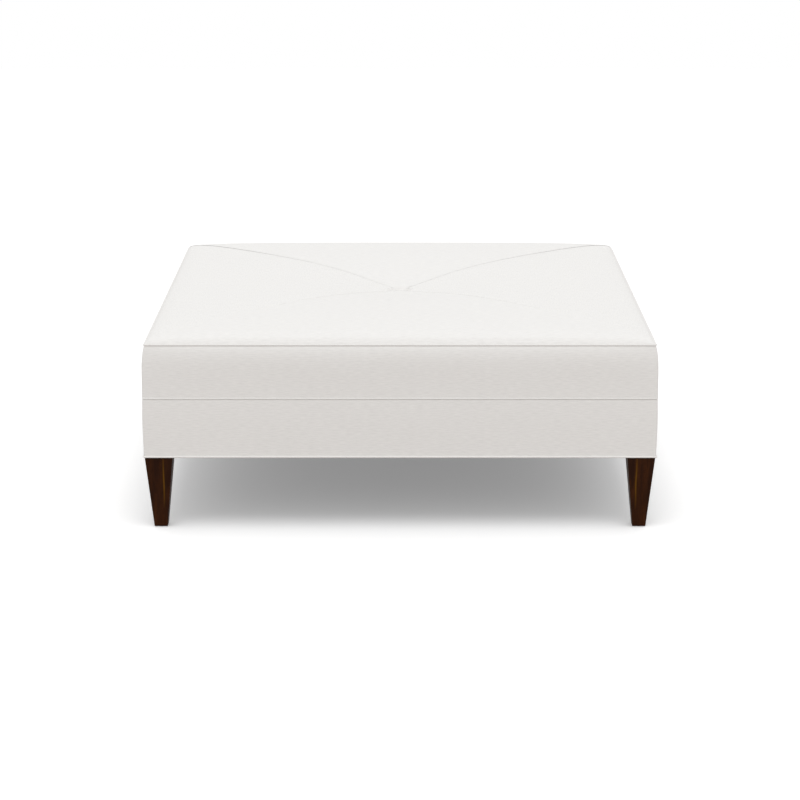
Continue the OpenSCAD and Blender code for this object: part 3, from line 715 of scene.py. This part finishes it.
bonded_fibre = mottled(
    "bonded_fibre", (fibre_white, fibre_shade),
    {"Scale": 90, "Detail": 6, "Roughness": 0.7, "Distortion": 1}, (0.35, 0.65, 1), (0.7, 0.002),
    fibre_strands, Roughness=1.0, Specular_IOR_Level=0.05, Sheen_Weight=0.3)
side_levels = np.append(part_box("cushion_wadding")[0].z, foam_levels)
wrap_levels = np.array([corner.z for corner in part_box("base_wadding")])
for name, node, levels in (
    ("cushion_side_wadding", "cushion_wadding", side_levels),
    ("base_wrap", "base_wadding", wrap_levels),
):
    wadding = add_piece(name, [wadding_ring(levels)], bonded_fibre, [node])


# Cover cloth
# White cotton and linen in a plain weave with slubs along the width. Every piece of the cover is cut
# from it, the piping on the bias.

cloth_white = (0.872, 0.863, 0.846, 1)
# cloth_shade is the painted shade that the weave puts in the gaps between its threads.
cloth_shade = (0.797, 0.784, 0.765, 1)
cloth_thread = 0.0009

cover_cloth = woven_material(
    "cover_cloth", cloth_thread, cloth_white, cloth_shade, 0.22, 0.35,
    Roughness=0.88, Specular_IOR_Level=0.25, Sheen_Weight=0.08, Sheen_Roughness=0.5)


# Base band and boxing
# Eight strips of cover cloth, sewn to their neighbours at the corners. The base band is folded over
# the tack strip at its top and turned under the rail at its foot. The boxing is tacked behind the
# middle piping, and draws in towards the top piping.

corner_r = 0.005
least_bend = 0.0003
seam_gap = 0.00015
seam_depths = (0.0007, 0.0025)
seam_widening = (1, 1.6)
bend_steps = 6
strip_columns = 150
strip_spacing = 0.005
strip_shift = np.array([1.7, 0.31])
boxing_rows = 14
edge_w = 0.0008
hem_in = 0.025
rail_under = rail_low.z
fold_top = face_high.z
piping_proud = 0.0004
flap_edge = 0.0013
flap_w = 0.004
band_wave = 0.0003
boxing_wave = 0.0004
turned_in = side_pad - cover_t
close_gap = 0.0001


def both_ends(end, way=1):
    """Values of a strip's columns: none on the face, and those of its end at either end."""
    return np.concatenate([way * end[::-1], np.zeros(strip_columns), end])


def side_strip(line, side, puff, flat_wave):
    """Strip of cloth along one side. line holds the inset from the face and the level of each row,
    going up on the outside. Each row is straight, with a quarter bend at either end up to the
    diagonal, where the cloth turns in along it as the corner's seam. puff holds how far the face
    swells between its piped edges, how far it does so at the corners, the edges' levels, the power
    of the half wave that it follows, and a power that moves the wave's crest up where it is over 1.
    flat_wave is how far the face waves along it."""
    inset, level = line[:, :1], line[:, 1:]
    swell, corner_swell, foot, head, power, climb = puff
    on_face = smooth(1 - (inset - drawn_in(level)) / edge_w)
    height = np.clip((level - foot) / (head - foot), 0, 1)
    arch = on_face * np.sin(np.pi * height ** climb) ** power
    inset = inset - corner_swell * arch
    bend = np.maximum(corner_r - 0.4 * inset, least_bend)
    centre = face_half - inset - bend
    turn = np.linspace(0, np.pi / 4, bend_steps + 1)[1:]
    angle = both_ends(np.append(turn, [turn[-1]] * len(seam_depths)), -1)
    depth = both_ends(np.append([0] * bend_steps, seam_depths))
    gap = both_ends(seam_gap * np.concatenate([[0] * (bend_steps - 1), [1], seam_widening]))
    share = both_ends(np.ones(bend_steps + len(seam_depths)), -1)
    share[np.abs(share) < 1] = np.linspace(-1, 1, strip_columns)
    along = centre * share + bend * np.sin(angle)
    out = centre + bend * np.cos(angle)
    x = along - np.sign(share) * (depth + gap) / math.sqrt(2)
    y = -out + (depth - gap) / math.sqrt(2)
    wave = flat_wave * uneven(x, level, side) * np.sin(np.pi * height) * (1 - share ** 8)
    y = y - arch * (swell - corner_swell) * (1 - np.abs(share) ** 14) - on_face * wave
    cloth = stacked(x, reach_along(line)[:, None]) + strip_shift * side
    return on_side(stacked(x, y, level), side), cloth, *loose_edges


def cover_piece(name, grid):
    """One grid of cover cloth with its thickness, for the node of that name."""
    return thicken(add_piece(name + "_cloth", [grid], cover_cloth, [name]), cover_t)


def piping_box(name):
    """Box of a piping, which stands a little prouder than the frame's once the cloth is pulled tight."""
    low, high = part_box(name)
    proud = Vector((piping_proud, piping_proud, 0))
    return low - proud, high + proud


def over_cord(low, high, inset):
    """Height of a cord's surface over its middle line, on an upright plane at that inset."""
    radius = (high.z - low.z) / 2
    return math.sqrt(radius ** 2 - (face_half - inset - high.x + radius) ** 2)


soft_bend = 0.0022
sharp_bend = 0.0004
foot_piping_low, foot_piping_high = piping_box("bottom_piping")
mid_piping_low, mid_piping_high = piping_box("middle_piping")
top_piping_low, top_piping_high = piping_box("top_piping")
band_foot = foot_piping_high.z
band_line = evenly(bent_line([
    (hem_in, rail_under - cover_t), (turned_in, rail_under - cover_t), (turned_in, band_foot),
    (0, band_foot), (0, fold_top), (turned_in, fold_top)],
    (soft_bend, soft_bend, sharp_bend, soft_bend)), strip_spacing)
mid_middle = (mid_piping_low.z + mid_piping_high.z) / 2
top_middle = (top_piping_low.z + top_piping_high.z) / 2
boxing_foot = mid_middle + over_cord(mid_piping_low, mid_piping_high, 0) + close_gap
boxing_head = top_middle - over_cord(top_piping_low, top_piping_high, draw_in) - close_gap
cord_in = face_half - mid_piping_high.x + (mid_piping_high.z - mid_piping_low.z) / 2
boxing_side = [(drawn_in(level), level) for level in np.linspace(straight_top, boxing_high.z, boxing_rows)]
boxing_line = evenly(bent_line(
    [(turned_in, boxing_low.z), (turned_in, mid_piping_high.z + close_gap),
     (cord_in, mid_piping_high.z + close_gap), (0, boxing_foot), *boxing_side, (draw_in, boxing_head),
     (draw_in + flap_edge, boxing_high.z), (draw_in + flap_w, boxing_high.z)],
    [soft_bend, sharp_bend, sharp_bend] + [soft_bend] * boxing_rows + [sharp_bend] * 2), strip_spacing)
band_puff = (0.0007, 0.0012, band_foot, fold_top, 1, 1.3)
boxing_puff = (0.0024, 0.0, boxing_foot, boxing_head, 0.6, 3)
sides = ("front", "right", "back", "left")
for side, name in enumerate(sides):
    band = cover_piece(f"base_band_{name}", side_strip(band_line, side, band_puff, band_wave))
    boxing = cover_piece(f"boxing_{name}", side_strip(boxing_line, side, boxing_puff, boxing_wave))


# Piping
# Cotton cord wrapped in a bias strip of the cover cloth, in one closed run round each edge. Its seam
# allowance points inwards, and the cord shows faintly through the cloth as a slow twist.

piping_corner_r = 0.003
piping_step = 0.002
piping_sides = 18
cord_twist = 0.009
twist_share = 0.02
tail_power = 10
piping_bend_steps = 6


def piping_run(low, high, tail):
    """Closed tube round the rounded square. Its radius is the cord's, with a tail towards the inside
    and a three-strand twist that stands out by a fiftieth."""
    radius = (high.z - low.z) / 2
    half = high.x - radius
    straight = half - piping_corner_r
    line = np.linspace(-straight, straight, int(2 * straight / piping_step))
    bend = np.linspace(0, np.pi / 2, piping_bend_steps + 2)[1:-1]
    angle = np.append(0 * line, bend)
    outward = stacked(np.sin(angle), -np.cos(angle), 0)
    middle = piping_corner_r * outward
    middle[:, 0] += np.append(line, [straight] * piping_bend_steps)
    middle[:, 1] -= straight
    middle, outward = all_round(middle), all_round(outward)
    reach = np.arange(len(middle)) * 8 * half / len(middle)
    turn = turns(piping_sides)
    twist = twist_share * np.cos(3 * (turn - 2 * np.pi * reach[:, None] / (3 * cord_twist)))
    inward = np.maximum(0, -np.cos(turn)) ** tail_power
    r = radius * (1 + (twist - twist_share) * (1 - inward) + tail * inward)
    flat = r * np.cos(turn)
    up = r * np.sin(turn) * (1 - 0.5 * inward * (tail > 0))
    grid = middle[:, None] + flat[..., None] * outward[:, None]
    grid[..., 2] += (low.z + high.z) / 2 + up
    along = np.append(reach, reach[-1] + piping_step)[:, None]
    around = np.append(turn, 2 * np.pi) * radius
    cloth = stacked(along - around, along + around) / math.sqrt(2)
    return grid[::-1], cloth[::-1], (True, True), (False, False)


for name, low, high, tail in (
    ("top_piping", top_piping_low, top_piping_high, 1.1),
    ("middle_piping", mid_piping_low, mid_piping_high, 0.1),
    ("bottom_piping", foot_piping_low, foot_piping_high, 0.5),
):
    add_piece(name + "_welt", [piping_run(low, high, tail)], cover_cloth, [name])


# Crowned top
# Four triangles of cover cloth, sewn together along the diagonals, over one soft pad that is thick in
# a ring and thin in the middle. The twine pulls the button down to the pad's floor, and the cloth
# gathers in small pleats round it. The cloth is let swell between its seams by a cloth simulation.

edge_rise = 0.0003
edge_under = 0.0016
edge_tuck = 0.001
floor_w = 0.006
crown_edge_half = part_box("top_panel_front")[1].x
crown_edge_z = top_piping_high.z + edge_rise + 2 * cover_t
crown_h = 0.0287
shoulder_near = 0.016
shoulder_far = 0.11
shoulder_share = 0.55
seam_dip = 0.0015
seam_dip_w = 0.02
tuft_share = 0.92
tuft_reach = 0.18
tuft_wall = 0.009
tuft_drop = 0.0055 + cover_t
button_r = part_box("button_cap")[1].x
floor_r = button_r + floor_w
panel_half = top_piping_high.x - (top_piping_high.z - top_piping_low.z) + edge_under
tuck_z = top_piping_high.z - edge_tuck
circles_share = 0.6
lip_reach = 0.012
seam_fold_r = 0.00065
seam_fold_steps = 7
least_fold_r = 0.00005
front_fold_from = 0.34
back_fold_from = 0.1
fold_growth = 0.45
fold_end = 0.02
seam_over = 0.003
seam_slit = 0.001
seam_sink = 0.0001
seam_lap_w = 0.012
seam_groove_w = 0.0048
seam_places = np.array([0, 0.25, 0.6, 1, 1.4, 1.8, 2.2, 2.7, 3.4, 4.5, 6, 8, 11, 15, 20]) / 1000
pleat_h = 0.0003
pleat_count = 26
pleat_rise_w = 0.006
pleat_fade_w = 0.022
hole_r = 0.007
relax_rows = 56
relax_columns = 48
relax_steps = 20
relax_cap = 0.0008
relax_settings = {
    "quality": 6, "mass": 0.25, "tension_stiffness": 60, "compression_stiffness": 60,
    "shear_stiffness": 20, "bending_stiffness": 1.5, "vertex_group_mass": "sewn", "use_pressure": True,
    "uniform_pressure_force": 0.3}
panel_rows = 150
panel_shift = np.array([2.3, 1.1])
panel_hem = 0.0006
panel_gap_w = 0.001
fold_back_from = 1.4
fold_back_w = 0.17
fold_hem = 0.0001
pad_air = 0.0004
pad_least_h = 0.001
pad_slit = 0.0012
pad_slit_w = 0.0075
pad_rim_w = 0.01
pad_rim_in = 0.0006


def shoulder(inside):
    """Rise from 0 to 1 inside an edge: a steep part and a slow part."""
    return shoulder_share * (1 - np.exp(-inside / shoulder_near)) + (1 - shoulder_share) * (
        1 - np.exp(-inside / shoulder_far))


def off_diagonal(x, y):
    """Distance from the nearer diagonal."""
    return np.abs(np.abs(x) - np.abs(y)) / math.sqrt(2)


def crown(x, y):
    """Height of the pad's crown over the cushion's edge: two shoulders multiplied, hollowed round the
    button, with a shallow channel along the diagonals and a steep wall down to the button."""
    r = np.hypot(x, y)
    swell = shoulder(crown_edge_half - np.abs(x)) * shoulder(crown_edge_half - np.abs(y))
    hollow = 1 - tuft_share * np.exp(-(r / tuft_reach) ** 1.7)
    cushion = swell * (crown_h * hollow - seam_dip * np.exp(-(off_diagonal(x, y) / seam_dip_w) ** 2))
    wall = smooth((r - floor_r) / tuft_wall)
    return cushion * wall - tuft_drop * (1 - wall)


def top_level(x, y):
    """Level of the cloth: the crown, turned down in a quarter ellipse to the inside of the piping, and
    in pleats that die away from the button."""
    r, turn = np.hypot(x, y), np.arctan2(y, x)
    inside = np.clip((panel_half - np.maximum(np.abs(x), np.abs(y))) / lip_reach, 0, 1)
    lip = np.sqrt(1 - (1 - inside) ** 2)
    level = tuck_z + (crown_edge_z + crown(x, y) - tuck_z) * lip
    near = smooth((r - floor_r) / pleat_rise_w) * np.exp(-np.maximum(r - floor_r, 0) / pleat_fade_w)
    beat = 1 + 0.5 * np.sin(5 * turn + 0.8) + 0.3 * np.sin(9 * turn + 2.1)
    return level + pleat_h * near * beat * np.cos(pleat_count * turn + 1.1 * np.sin(3 * turn))


def panel_plan(t, w):
    """Plan of the front triangle. t goes from the hole to the edge and w from the left seam to the
    right one, both from 0 to 1. Rows are circles that turn into the straight edge."""
    across = np.sin(np.pi / 2 * (2 * w - 1))
    edge = panel_half * stacked(across, -1)
    reach = np.linalg.norm(edge, axis=-1)
    r = hole_r + (panel_half - hole_r) * (1 - np.cos(np.pi * t)) / 2
    k = smooth((r - floor_r) / (circles_share * panel_half - floor_r))
    size = (r * (1 - k) + reach * r / panel_half * k) / reach
    return edge * size[..., None]


def front_surface(t, w, below=0.0):
    """Front triangle's surface, at a depth below the cloth's outer face."""
    plan = panel_plan(t, w)
    level = top_level(plan[..., 0], plan[..., 1]) - below
    return stacked(plan[..., 0], plan[..., 1], level)


def relaxed():
    """How the cloth moves when it swells between its seams: a ring of all four triangles, pinned at
    its edge, seams and button, under light pressure. Returns moves (side, row, column, 3) in the
    front triangle's frame, each held under the cap."""
    shares = np.linspace(0, 1, relax_columns, endpoint=False)
    t, w = np.meshgrid(np.linspace(0, 1, relax_rows), shares, indexing="ij")
    ring = all_round(front_surface(t, w), axis=1)
    index = np.arange(4 * t.size).reshape(relax_rows, -1)
    index = np.concatenate([index, index[:, :1]], axis=1)
    quads = stacked(index[:-1, :-1], index[1:, :-1], index[1:, 1:], index[:-1, 1:])
    mesh = bpy.data.meshes.new("relaxing")
    mesh.from_pydata(ring.reshape(-1, 3).tolist(), [], quads.reshape(-1, 4).tolist())
    cloth = in_scene("relaxing", mesh)
    pinned = cloth.vertex_groups.new(name="sewn")
    held = np.zeros(ring.shape[:2], bool)
    held[:7] = held[-2:] = held[:, ::relax_columns] = True
    pinned.add(np.flatnonzero(held).tolist(), 1.0, "REPLACE")
    settings = cloth.modifiers.new("cloth", "CLOTH").settings
    for label, value in relax_settings.items():
        setattr(settings, label, value)
    settings.effector_weights.gravity = 0
    for step in range(1, relax_steps + 1):
        scene.frame_set(step)
    posed = cloth.evaluated_get(bpy.context.evaluated_depsgraph_get())
    after = np.zeros(ring.size, np.float32)
    posed.data.vertices.foreach_get("co", after)
    move = after.reshape(ring.shape) - ring
    bpy.data.objects.remove(cloth)
    scene.frame_set(1)
    size = np.linalg.norm(move, axis=-1, keepdims=True)
    move = move * relax_cap / np.hypot(relax_cap, size)
    parts = np.split(move, 4, axis=1)
    parts = [np.concatenate([parts[k], parts[(k + 1) % 4][:, :1]], axis=1) for k in range(4)]
    return np.stack([on_side(parts[k], -k) for k in range(4)])


moves = relaxed()


def moved_at(side, t, w):
    """Move of one triangle's cloth at t and w, between the four nearest points of the simulation."""
    row, column = t * (relax_rows - 1), w * relax_columns
    r0 = np.minimum(row.astype(int), relax_rows - 2)
    c0 = np.minimum(column.astype(int), relax_columns - 1)
    fr, fc = (row - r0)[..., None], (column - c0)[..., None]
    m = moves[side]
    low = m[r0, c0] * (1 - fc) + m[r0, c0 + 1] * fc
    high = m[r0 + 1, c0] * (1 - fc) + m[r0 + 1, c0 + 1] * fc
    return low * (1 - fr) + high * fr


def triangle(side, rows, shares, below=0.0):
    """Front triangle's surface with one side's moves. shares are the columns' places from the left
    seam to the right one, from 0 to 1."""
    t, w = np.meshgrid(np.linspace(0, 1, rows), shares, indexing="ij")
    return front_surface(t, w, below) + moved_at(side, t, w), w


def by_seam(x, y):
    """Distance from the nearest seam, as if the point were moved straight out to the edge, how far the
    seam's fold is formed, which dies away at its two ends, sooner on the two seams in front, and how
    wide the seam is, which grows with the distance from the button."""
    reach = np.hypot(x, y) / (math.sqrt(2) * panel_half)
    start = np.where(y < 0, front_fold_from, back_fold_from)
    fold = smooth((reach - start) / fold_growth) * smooth((1 - reach) / fold_end)
    return off_diagonal(x, y) / np.maximum(reach, 0.02), fold, reach ** 2 * fold


def seam_columns(middle=44):
    """Shares across a triangle, closest together beside its seams."""
    near = np.arccos(1 - seam_places * math.sqrt(2) / panel_half) / np.pi
    between = np.linspace(near[-1], 1 - near[-1], middle)
    return np.concatenate([near[:-1], between, 1 - near[-2::-1]])


def folded_edge(crest, fold, width, way):
    """Columns of the fold beside one seam: out over the next panel, round, and back under itself. way
    is -1 at the left seam and 1 at the right one. Where the fold is thinner than the cloth that lies
    inside it, it turns less far and doesn't come back."""
    r = fold * seam_fold_r + least_fold_r
    last = np.arcsin(np.clip((r - least_fold_r) / (cover_t - r), 0, 1))
    turn = np.pi / 2 - (np.pi / 2 + last) * np.linspace(0, 1, seam_fold_steps)
    out = seam_over * width + r * np.cos(turn)
    down = r * (1 - np.sin(turn)) + seam_sink * fold
    back = smooth((last - fold_back_from) / fold_back_w)
    out = np.concatenate([out, out[:, -1:] * (1 - back) - fold_hem], axis=1) / math.sqrt(2)
    down = np.concatenate([down, down[:, -1:] + fold_hem / 2], axis=1)
    return stacked(crest[..., 0] + way * out, crest[..., 1] + out, crest[..., 2] - down)


def top_panel(side):
    """Triangle of cloth up to its seams. The front and back ones are lapped over the other two: their
    folded edges stand proud of the seam and hang over it, and the others dip under them in a groove."""
    grid, w = triangle(side, panel_rows, seam_columns())
    away, fold, width = by_seam(grid[..., 0], grid[..., 1])
    if side % 2 == 0:
        lap = np.exp(-(off_diagonal(grid[..., 0], grid[..., 1]) / seam_lap_w) ** 2)
        grid[..., 2] += 2 * seam_fold_r * fold * lap
        first = folded_edge(grid[:, :1], fold[:, :1], width[:, :1], -1)[:, ::-1]
        last = folded_edge(grid[:, -1:], fold[:, -1:], width[:, -1:], 1)
    else:
        groove = np.exp(-(away / seam_groove_w) ** 6)
        grid[..., 2] -= (seam_slit * width + 1.5 * seam_sink) * groove
        gap = (0.1 + 1.3 * fold) * seam_gap * np.exp(-away / panel_gap_w)
        grid[..., 0] -= np.sign(w - 0.5) * gap
        first, last = grid[:, :1].copy(), grid[:, -1:].copy()
        first[..., 2] -= panel_hem
        last[..., 2] -= panel_hem
    grid = np.concatenate([first, grid, last], axis=1)
    cloth = grid[..., :2] + panel_shift * side
    return on_side(grid, side)[::-1], cloth[::-1], *loose_edges


def pad_surface():
    """Closed pad: its top follows the cloth, with a channel for the seams, its sides go down to the
    foam, and its base is flat."""
    shares = np.linspace(0, 1, 61)
    fronts = [triangle(side, 60, shares, cover_t + pad_air)[0][:, :-1] for side in range(4)]
    top = np.concatenate([on_side(fronts[side], side) for side in range(4)], axis=1)
    away, _, width = by_seam(top[..., 0], top[..., 1])
    top[..., 2] -= width * (seam_slit + pad_slit) * np.exp(-(away / pad_slit_w) ** 4) + pad_air
    rim = 1 - (panel_half - np.maximum(np.abs(top[..., 0]), np.abs(top[..., 1]))) / pad_rim_w
    top[..., :2] *= 1 - pad_rim_in * smooth(rim)[..., None]
    top[..., 2] = np.maximum(top[..., 2], foam_high.z + pad_least_h)
    rim, hole = top[-1:].copy(), top[:1].copy()
    rim[..., 2] = hole[..., 2] = foam_high.z
    middle = rim * 0.5 + hole * 0.5
    grid = np.concatenate([top, rim, middle, hole])
    cloth = np.zeros((grid.shape[0] + 1, grid.shape[1] + 1, 2))
    return grid[::-1], cloth, (True, True), (False, False)


crown_filling = add_piece("crown_filling", [pad_surface()], bonded_fibre, ["crown_pad"])
for side, name in enumerate(sides):
    panel = cover_piece(f"top_panel_{name}", top_panel(side))


# Button
# Steel shell under a round of cover cloth, which is drawn over the rim and pleats there a little.

button_low, button_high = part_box("button_cap")
button_h = button_high.z - button_low.z
button_rise = 0.3
button_cloth_t = 0.0011
button_pleats = 18
button_pleat_h = 0.00022
button_in = 0.0002


def button_dome(rows=26, columns=144):
    """Dome that turns down to an upright rim: a superellipse turned round, with the cloth's pleats
    standing out near the rim."""
    share = np.linspace(0.02, 1, rows)[:, None]
    turn = turns(columns)
    lean = share * np.pi / 2
    r = button_r * np.sin(lean) ** 0.9
    level = button_low.z + button_rise * button_h * np.cos(lean) ** 0.75
    pleat = button_pleat_h * smooth((share - 0.55) / 0.4) * np.cos(button_pleats * turn + np.sin(2 * turn))
    r = r + pleat - button_in * share
    grid = stacked(r * np.cos(turn), r * np.sin(turn), level)
    around = np.linspace(0, 2 * np.pi, columns + 1)
    cloth = r[:, :1, None] * stacked(np.cos(around), np.sin(around))
    return grid[::-1], cloth[::-1], (False, True), (False, True)


button = add_piece("button_cloth", [button_dome()], cover_cloth, ["button_cap"])
thicken(button, button_cloth_t)


# Tufting twine
# Waxed flax twine of three strands, looped through the button's wire and knotted under the washer.

twine_low, twine_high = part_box("tuft_twine")
twine_r = 0.00125
twine_eye_r = 0.0032
knot_r = 0.0035
twine_lay = 0.009
twine_lobe = 0.12
knot_lobe = 0.1
twine_light = (0.62, 0.55, 0.42, 1)
twine_dark = (0.4, 0.34, 0.25, 1)


def strands(reach, turn):
    """Radius of a twisted twine: three lobes that go once round in each lay."""
    lobe = np.abs(np.cos(1.5 * turn - np.pi * reach / (twine_lay / 3)))
    return twine_r * (1 - twine_lobe + twine_lobe * lobe)


def twine_parts(columns=18):
    turn = turns(columns)
    eye_z = twine_high.z - twine_eye_r - twine_r
    lap = turns(48)[:, None]
    r = strands(lap * twine_eye_r, turn)
    out = twine_eye_r + r * np.cos(turn)
    eye = stacked(r * np.sin(turn), out * np.cos(lap), eye_z + out * np.sin(lap))
    knot_z = twine_low.z + knot_r
    level = np.linspace(knot_z, eye_z - twine_eye_r, 120)[:, None]
    r = strands(level, turn)
    stem = stacked(r * np.cos(turn), r * np.sin(turn), level)
    lean = np.linspace(0.08, np.pi - 0.08, 18)[:, None]
    r = knot_r * (1 + knot_lobe * np.cos(3 * turn + 4 * lean)) / (1 + knot_lobe)
    out = r * np.sin(lean)
    knot = stacked(out * np.cos(turn), out * np.sin(turn), knot_z - r * np.cos(lean))
    parts = []
    for grid, rows_round, filled in ((eye[::-1], True, False), (stem, False, True), (knot, False, True)):
        cloth = np.zeros((grid.shape[0] + rows_round, columns + 1, 2))
        parts.append((grid, cloth, (rows_round, True), (filled, filled)))
    return parts


waxed_flax = mottled(
    "waxed_flax", (twine_light, twine_dark), {"Scale": 1500, "Detail": 3}, (0.35, 0.65, 1), (0.3, 0.0002),
    Roughness=0.6, Specular_IOR_Level=0.3)
add_piece("tuft_twine_strands", twine_parts(), waxed_flax, ["tuft_twine"])


# Dust cover
# Black non-woven cloth under the frame, cut out round the legs and stapled to the rails. It hangs a
# little between its edges, and its surface has the small pressed dots of such cloth.

dust_low, dust_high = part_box("dust_cover")
dust_half = dust_high.x
notch_gap = 0.001
notch_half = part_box("leg_front_right")[0].x - notch_gap
dust_sag = 0.0025
dust_uneven = 0.25
dust_black = (0.012, 0.012, 0.013, 1)
dust_grey = (0.045, 0.045, 0.048, 1)


def dust_sheet(cells=100):
    """Sheet that faces down, with its corner squares left out round the legs."""
    middle = np.linspace(-notch_half, notch_half, cells)
    wing = np.linspace(notch_half, dust_half, 7)[1:]
    line = np.concatenate([-wing[::-1], middle, wing])
    x, y = np.meshgrid(line, line)
    hang = (1 - (x / dust_half) ** 2) * (1 - (y / dust_half) ** 2)
    level = dust_low.z - dust_sag * np.clip(hang, 0, 1) * (1 + dust_uneven * uneven(x, y, 3))
    return stacked(x, y, level)[::-1], stacked(x, y)[::-1], *loose_edges


def pressed_dots(tree, place, _):
    dots = put(tree, "TexVoronoi", {"Vector": place, "Scale": 900, "Randomness": 0.1})
    return spread(tree, dots, 0.1, 0.35, 0, 1)


def cut_corners(piece):
    """Takes the faces whose middle lies in a corner square out of the mesh."""
    form = bmesh.new()
    form.from_mesh(piece.data)
    middles = [(face, face.calc_center_median()) for face in form.faces]
    out = [face for face, middle in middles if min(abs(middle.x), abs(middle.y)) > notch_half]
    bmesh.ops.delete(form, geom=out, context="FACES")
    form.to_mesh(piece.data)
    form.free()


spunbond = mottled(
    "spunbond", (dust_black, dust_grey), {"Scale": 1100, "Detail": 4, "Distortion": 2}, (0.4, 0.7, 1),
    (0.4, 0.0003), pressed_dots, cloth_place, Roughness=0.85, Specular_IOR_Level=0.2)
dust_cloth = add_piece("dust_cover_cloth", [dust_sheet()], spunbond, ["dust_cover"])
cut_corners(dust_cloth)
thicken(dust_cloth, dust_high.z - dust_low.z)


# Studio
# Plain pale floor that shows as white to the camera and keeps the ottoman's shadow, one wide soft
# light from the front and above, and an even pale surround.

floor_half = 9.0
floor_shown = (0.92, 0.92, 0.92, 1)
floor_bounce = (0.655, 0.614, 0.588, 1)
floor_lift = 0.225
surround = 0.772
key_height = math.radians(73)
key_spread = math.radians(40)
key_strength = 0.965

floor_mesh = bpy.data.meshes.new("floor")
floor_mesh.from_pydata(
    [(-floor_half, -floor_half, 0), (floor_half, -floor_half, 0), (floor_half, floor_half, 0),
     (-floor_half, floor_half, 0)], [], [(0, 1, 2, 3)])
floor = in_scene("floor", floor_mesh)


def seen_directly(tree):
    """1 for what the camera sees, also in gloss and through glass, and 0 for light that bounces."""
    rays = put(tree, "LightPath").node.outputs
    seen = math_node(tree, "MAXIMUM", rays["Is Camera Ray"], rays["Is Glossy Ray"])
    return math_node(tree, "MAXIMUM", seen, rays["Is Transmission Ray"])


floor_material, floor_tree = new_material("pale_floor", Roughness=1.0, Specular_IOR_Level=0.0,
                                          Emission_Color=(1, 1, 1, 1))
floor_seen = seen_directly(floor_tree)
finish_with(floor_tree, Base_Color=blended(floor_tree, floor_seen, floor_bounce, floor_shown),
            Emission_Strength=times(floor_tree, floor_seen, floor_lift))
floor_mesh.materials.append(floor_material)

world = bpy.data.worlds.new("surround")
scene.world = world
world.use_nodes = True
world_tree = world.node_tree
background = world_tree.nodes["Background"]
background.inputs["Color"].default_value = (1, 1, 1, 1)
shown = spread(world_tree, seen_directly(world_tree), 0, 1, surround, 1.0)
world_tree.links.new(shown, background.inputs["Strength"])

key_data = bpy.data.lights.new("key", "SUN")
key_data.energy = key_strength
key_data.angle = key_spread
key = in_scene("key", key_data)
shines = Vector((0, math.cos(key_height), -math.sin(key_height)))
key.rotation_euler = shines.to_track_quat("-Z", "Y").to_euler()


# Camera
# A long lens in front of the ottoman, a little above it and tilted down.

camera_data = bpy.data.cameras.new("camera")
camera_data.sensor_width = 36
camera_data.lens = 104.15
camera = in_scene("camera", camera_data)
camera.location = (0, -5.886, 1.697)
camera.rotation_euler = (math.radians(90 - 14.63), 0, 0)
scene.camera = camera
scene.view_settings.view_transform = "Standard"
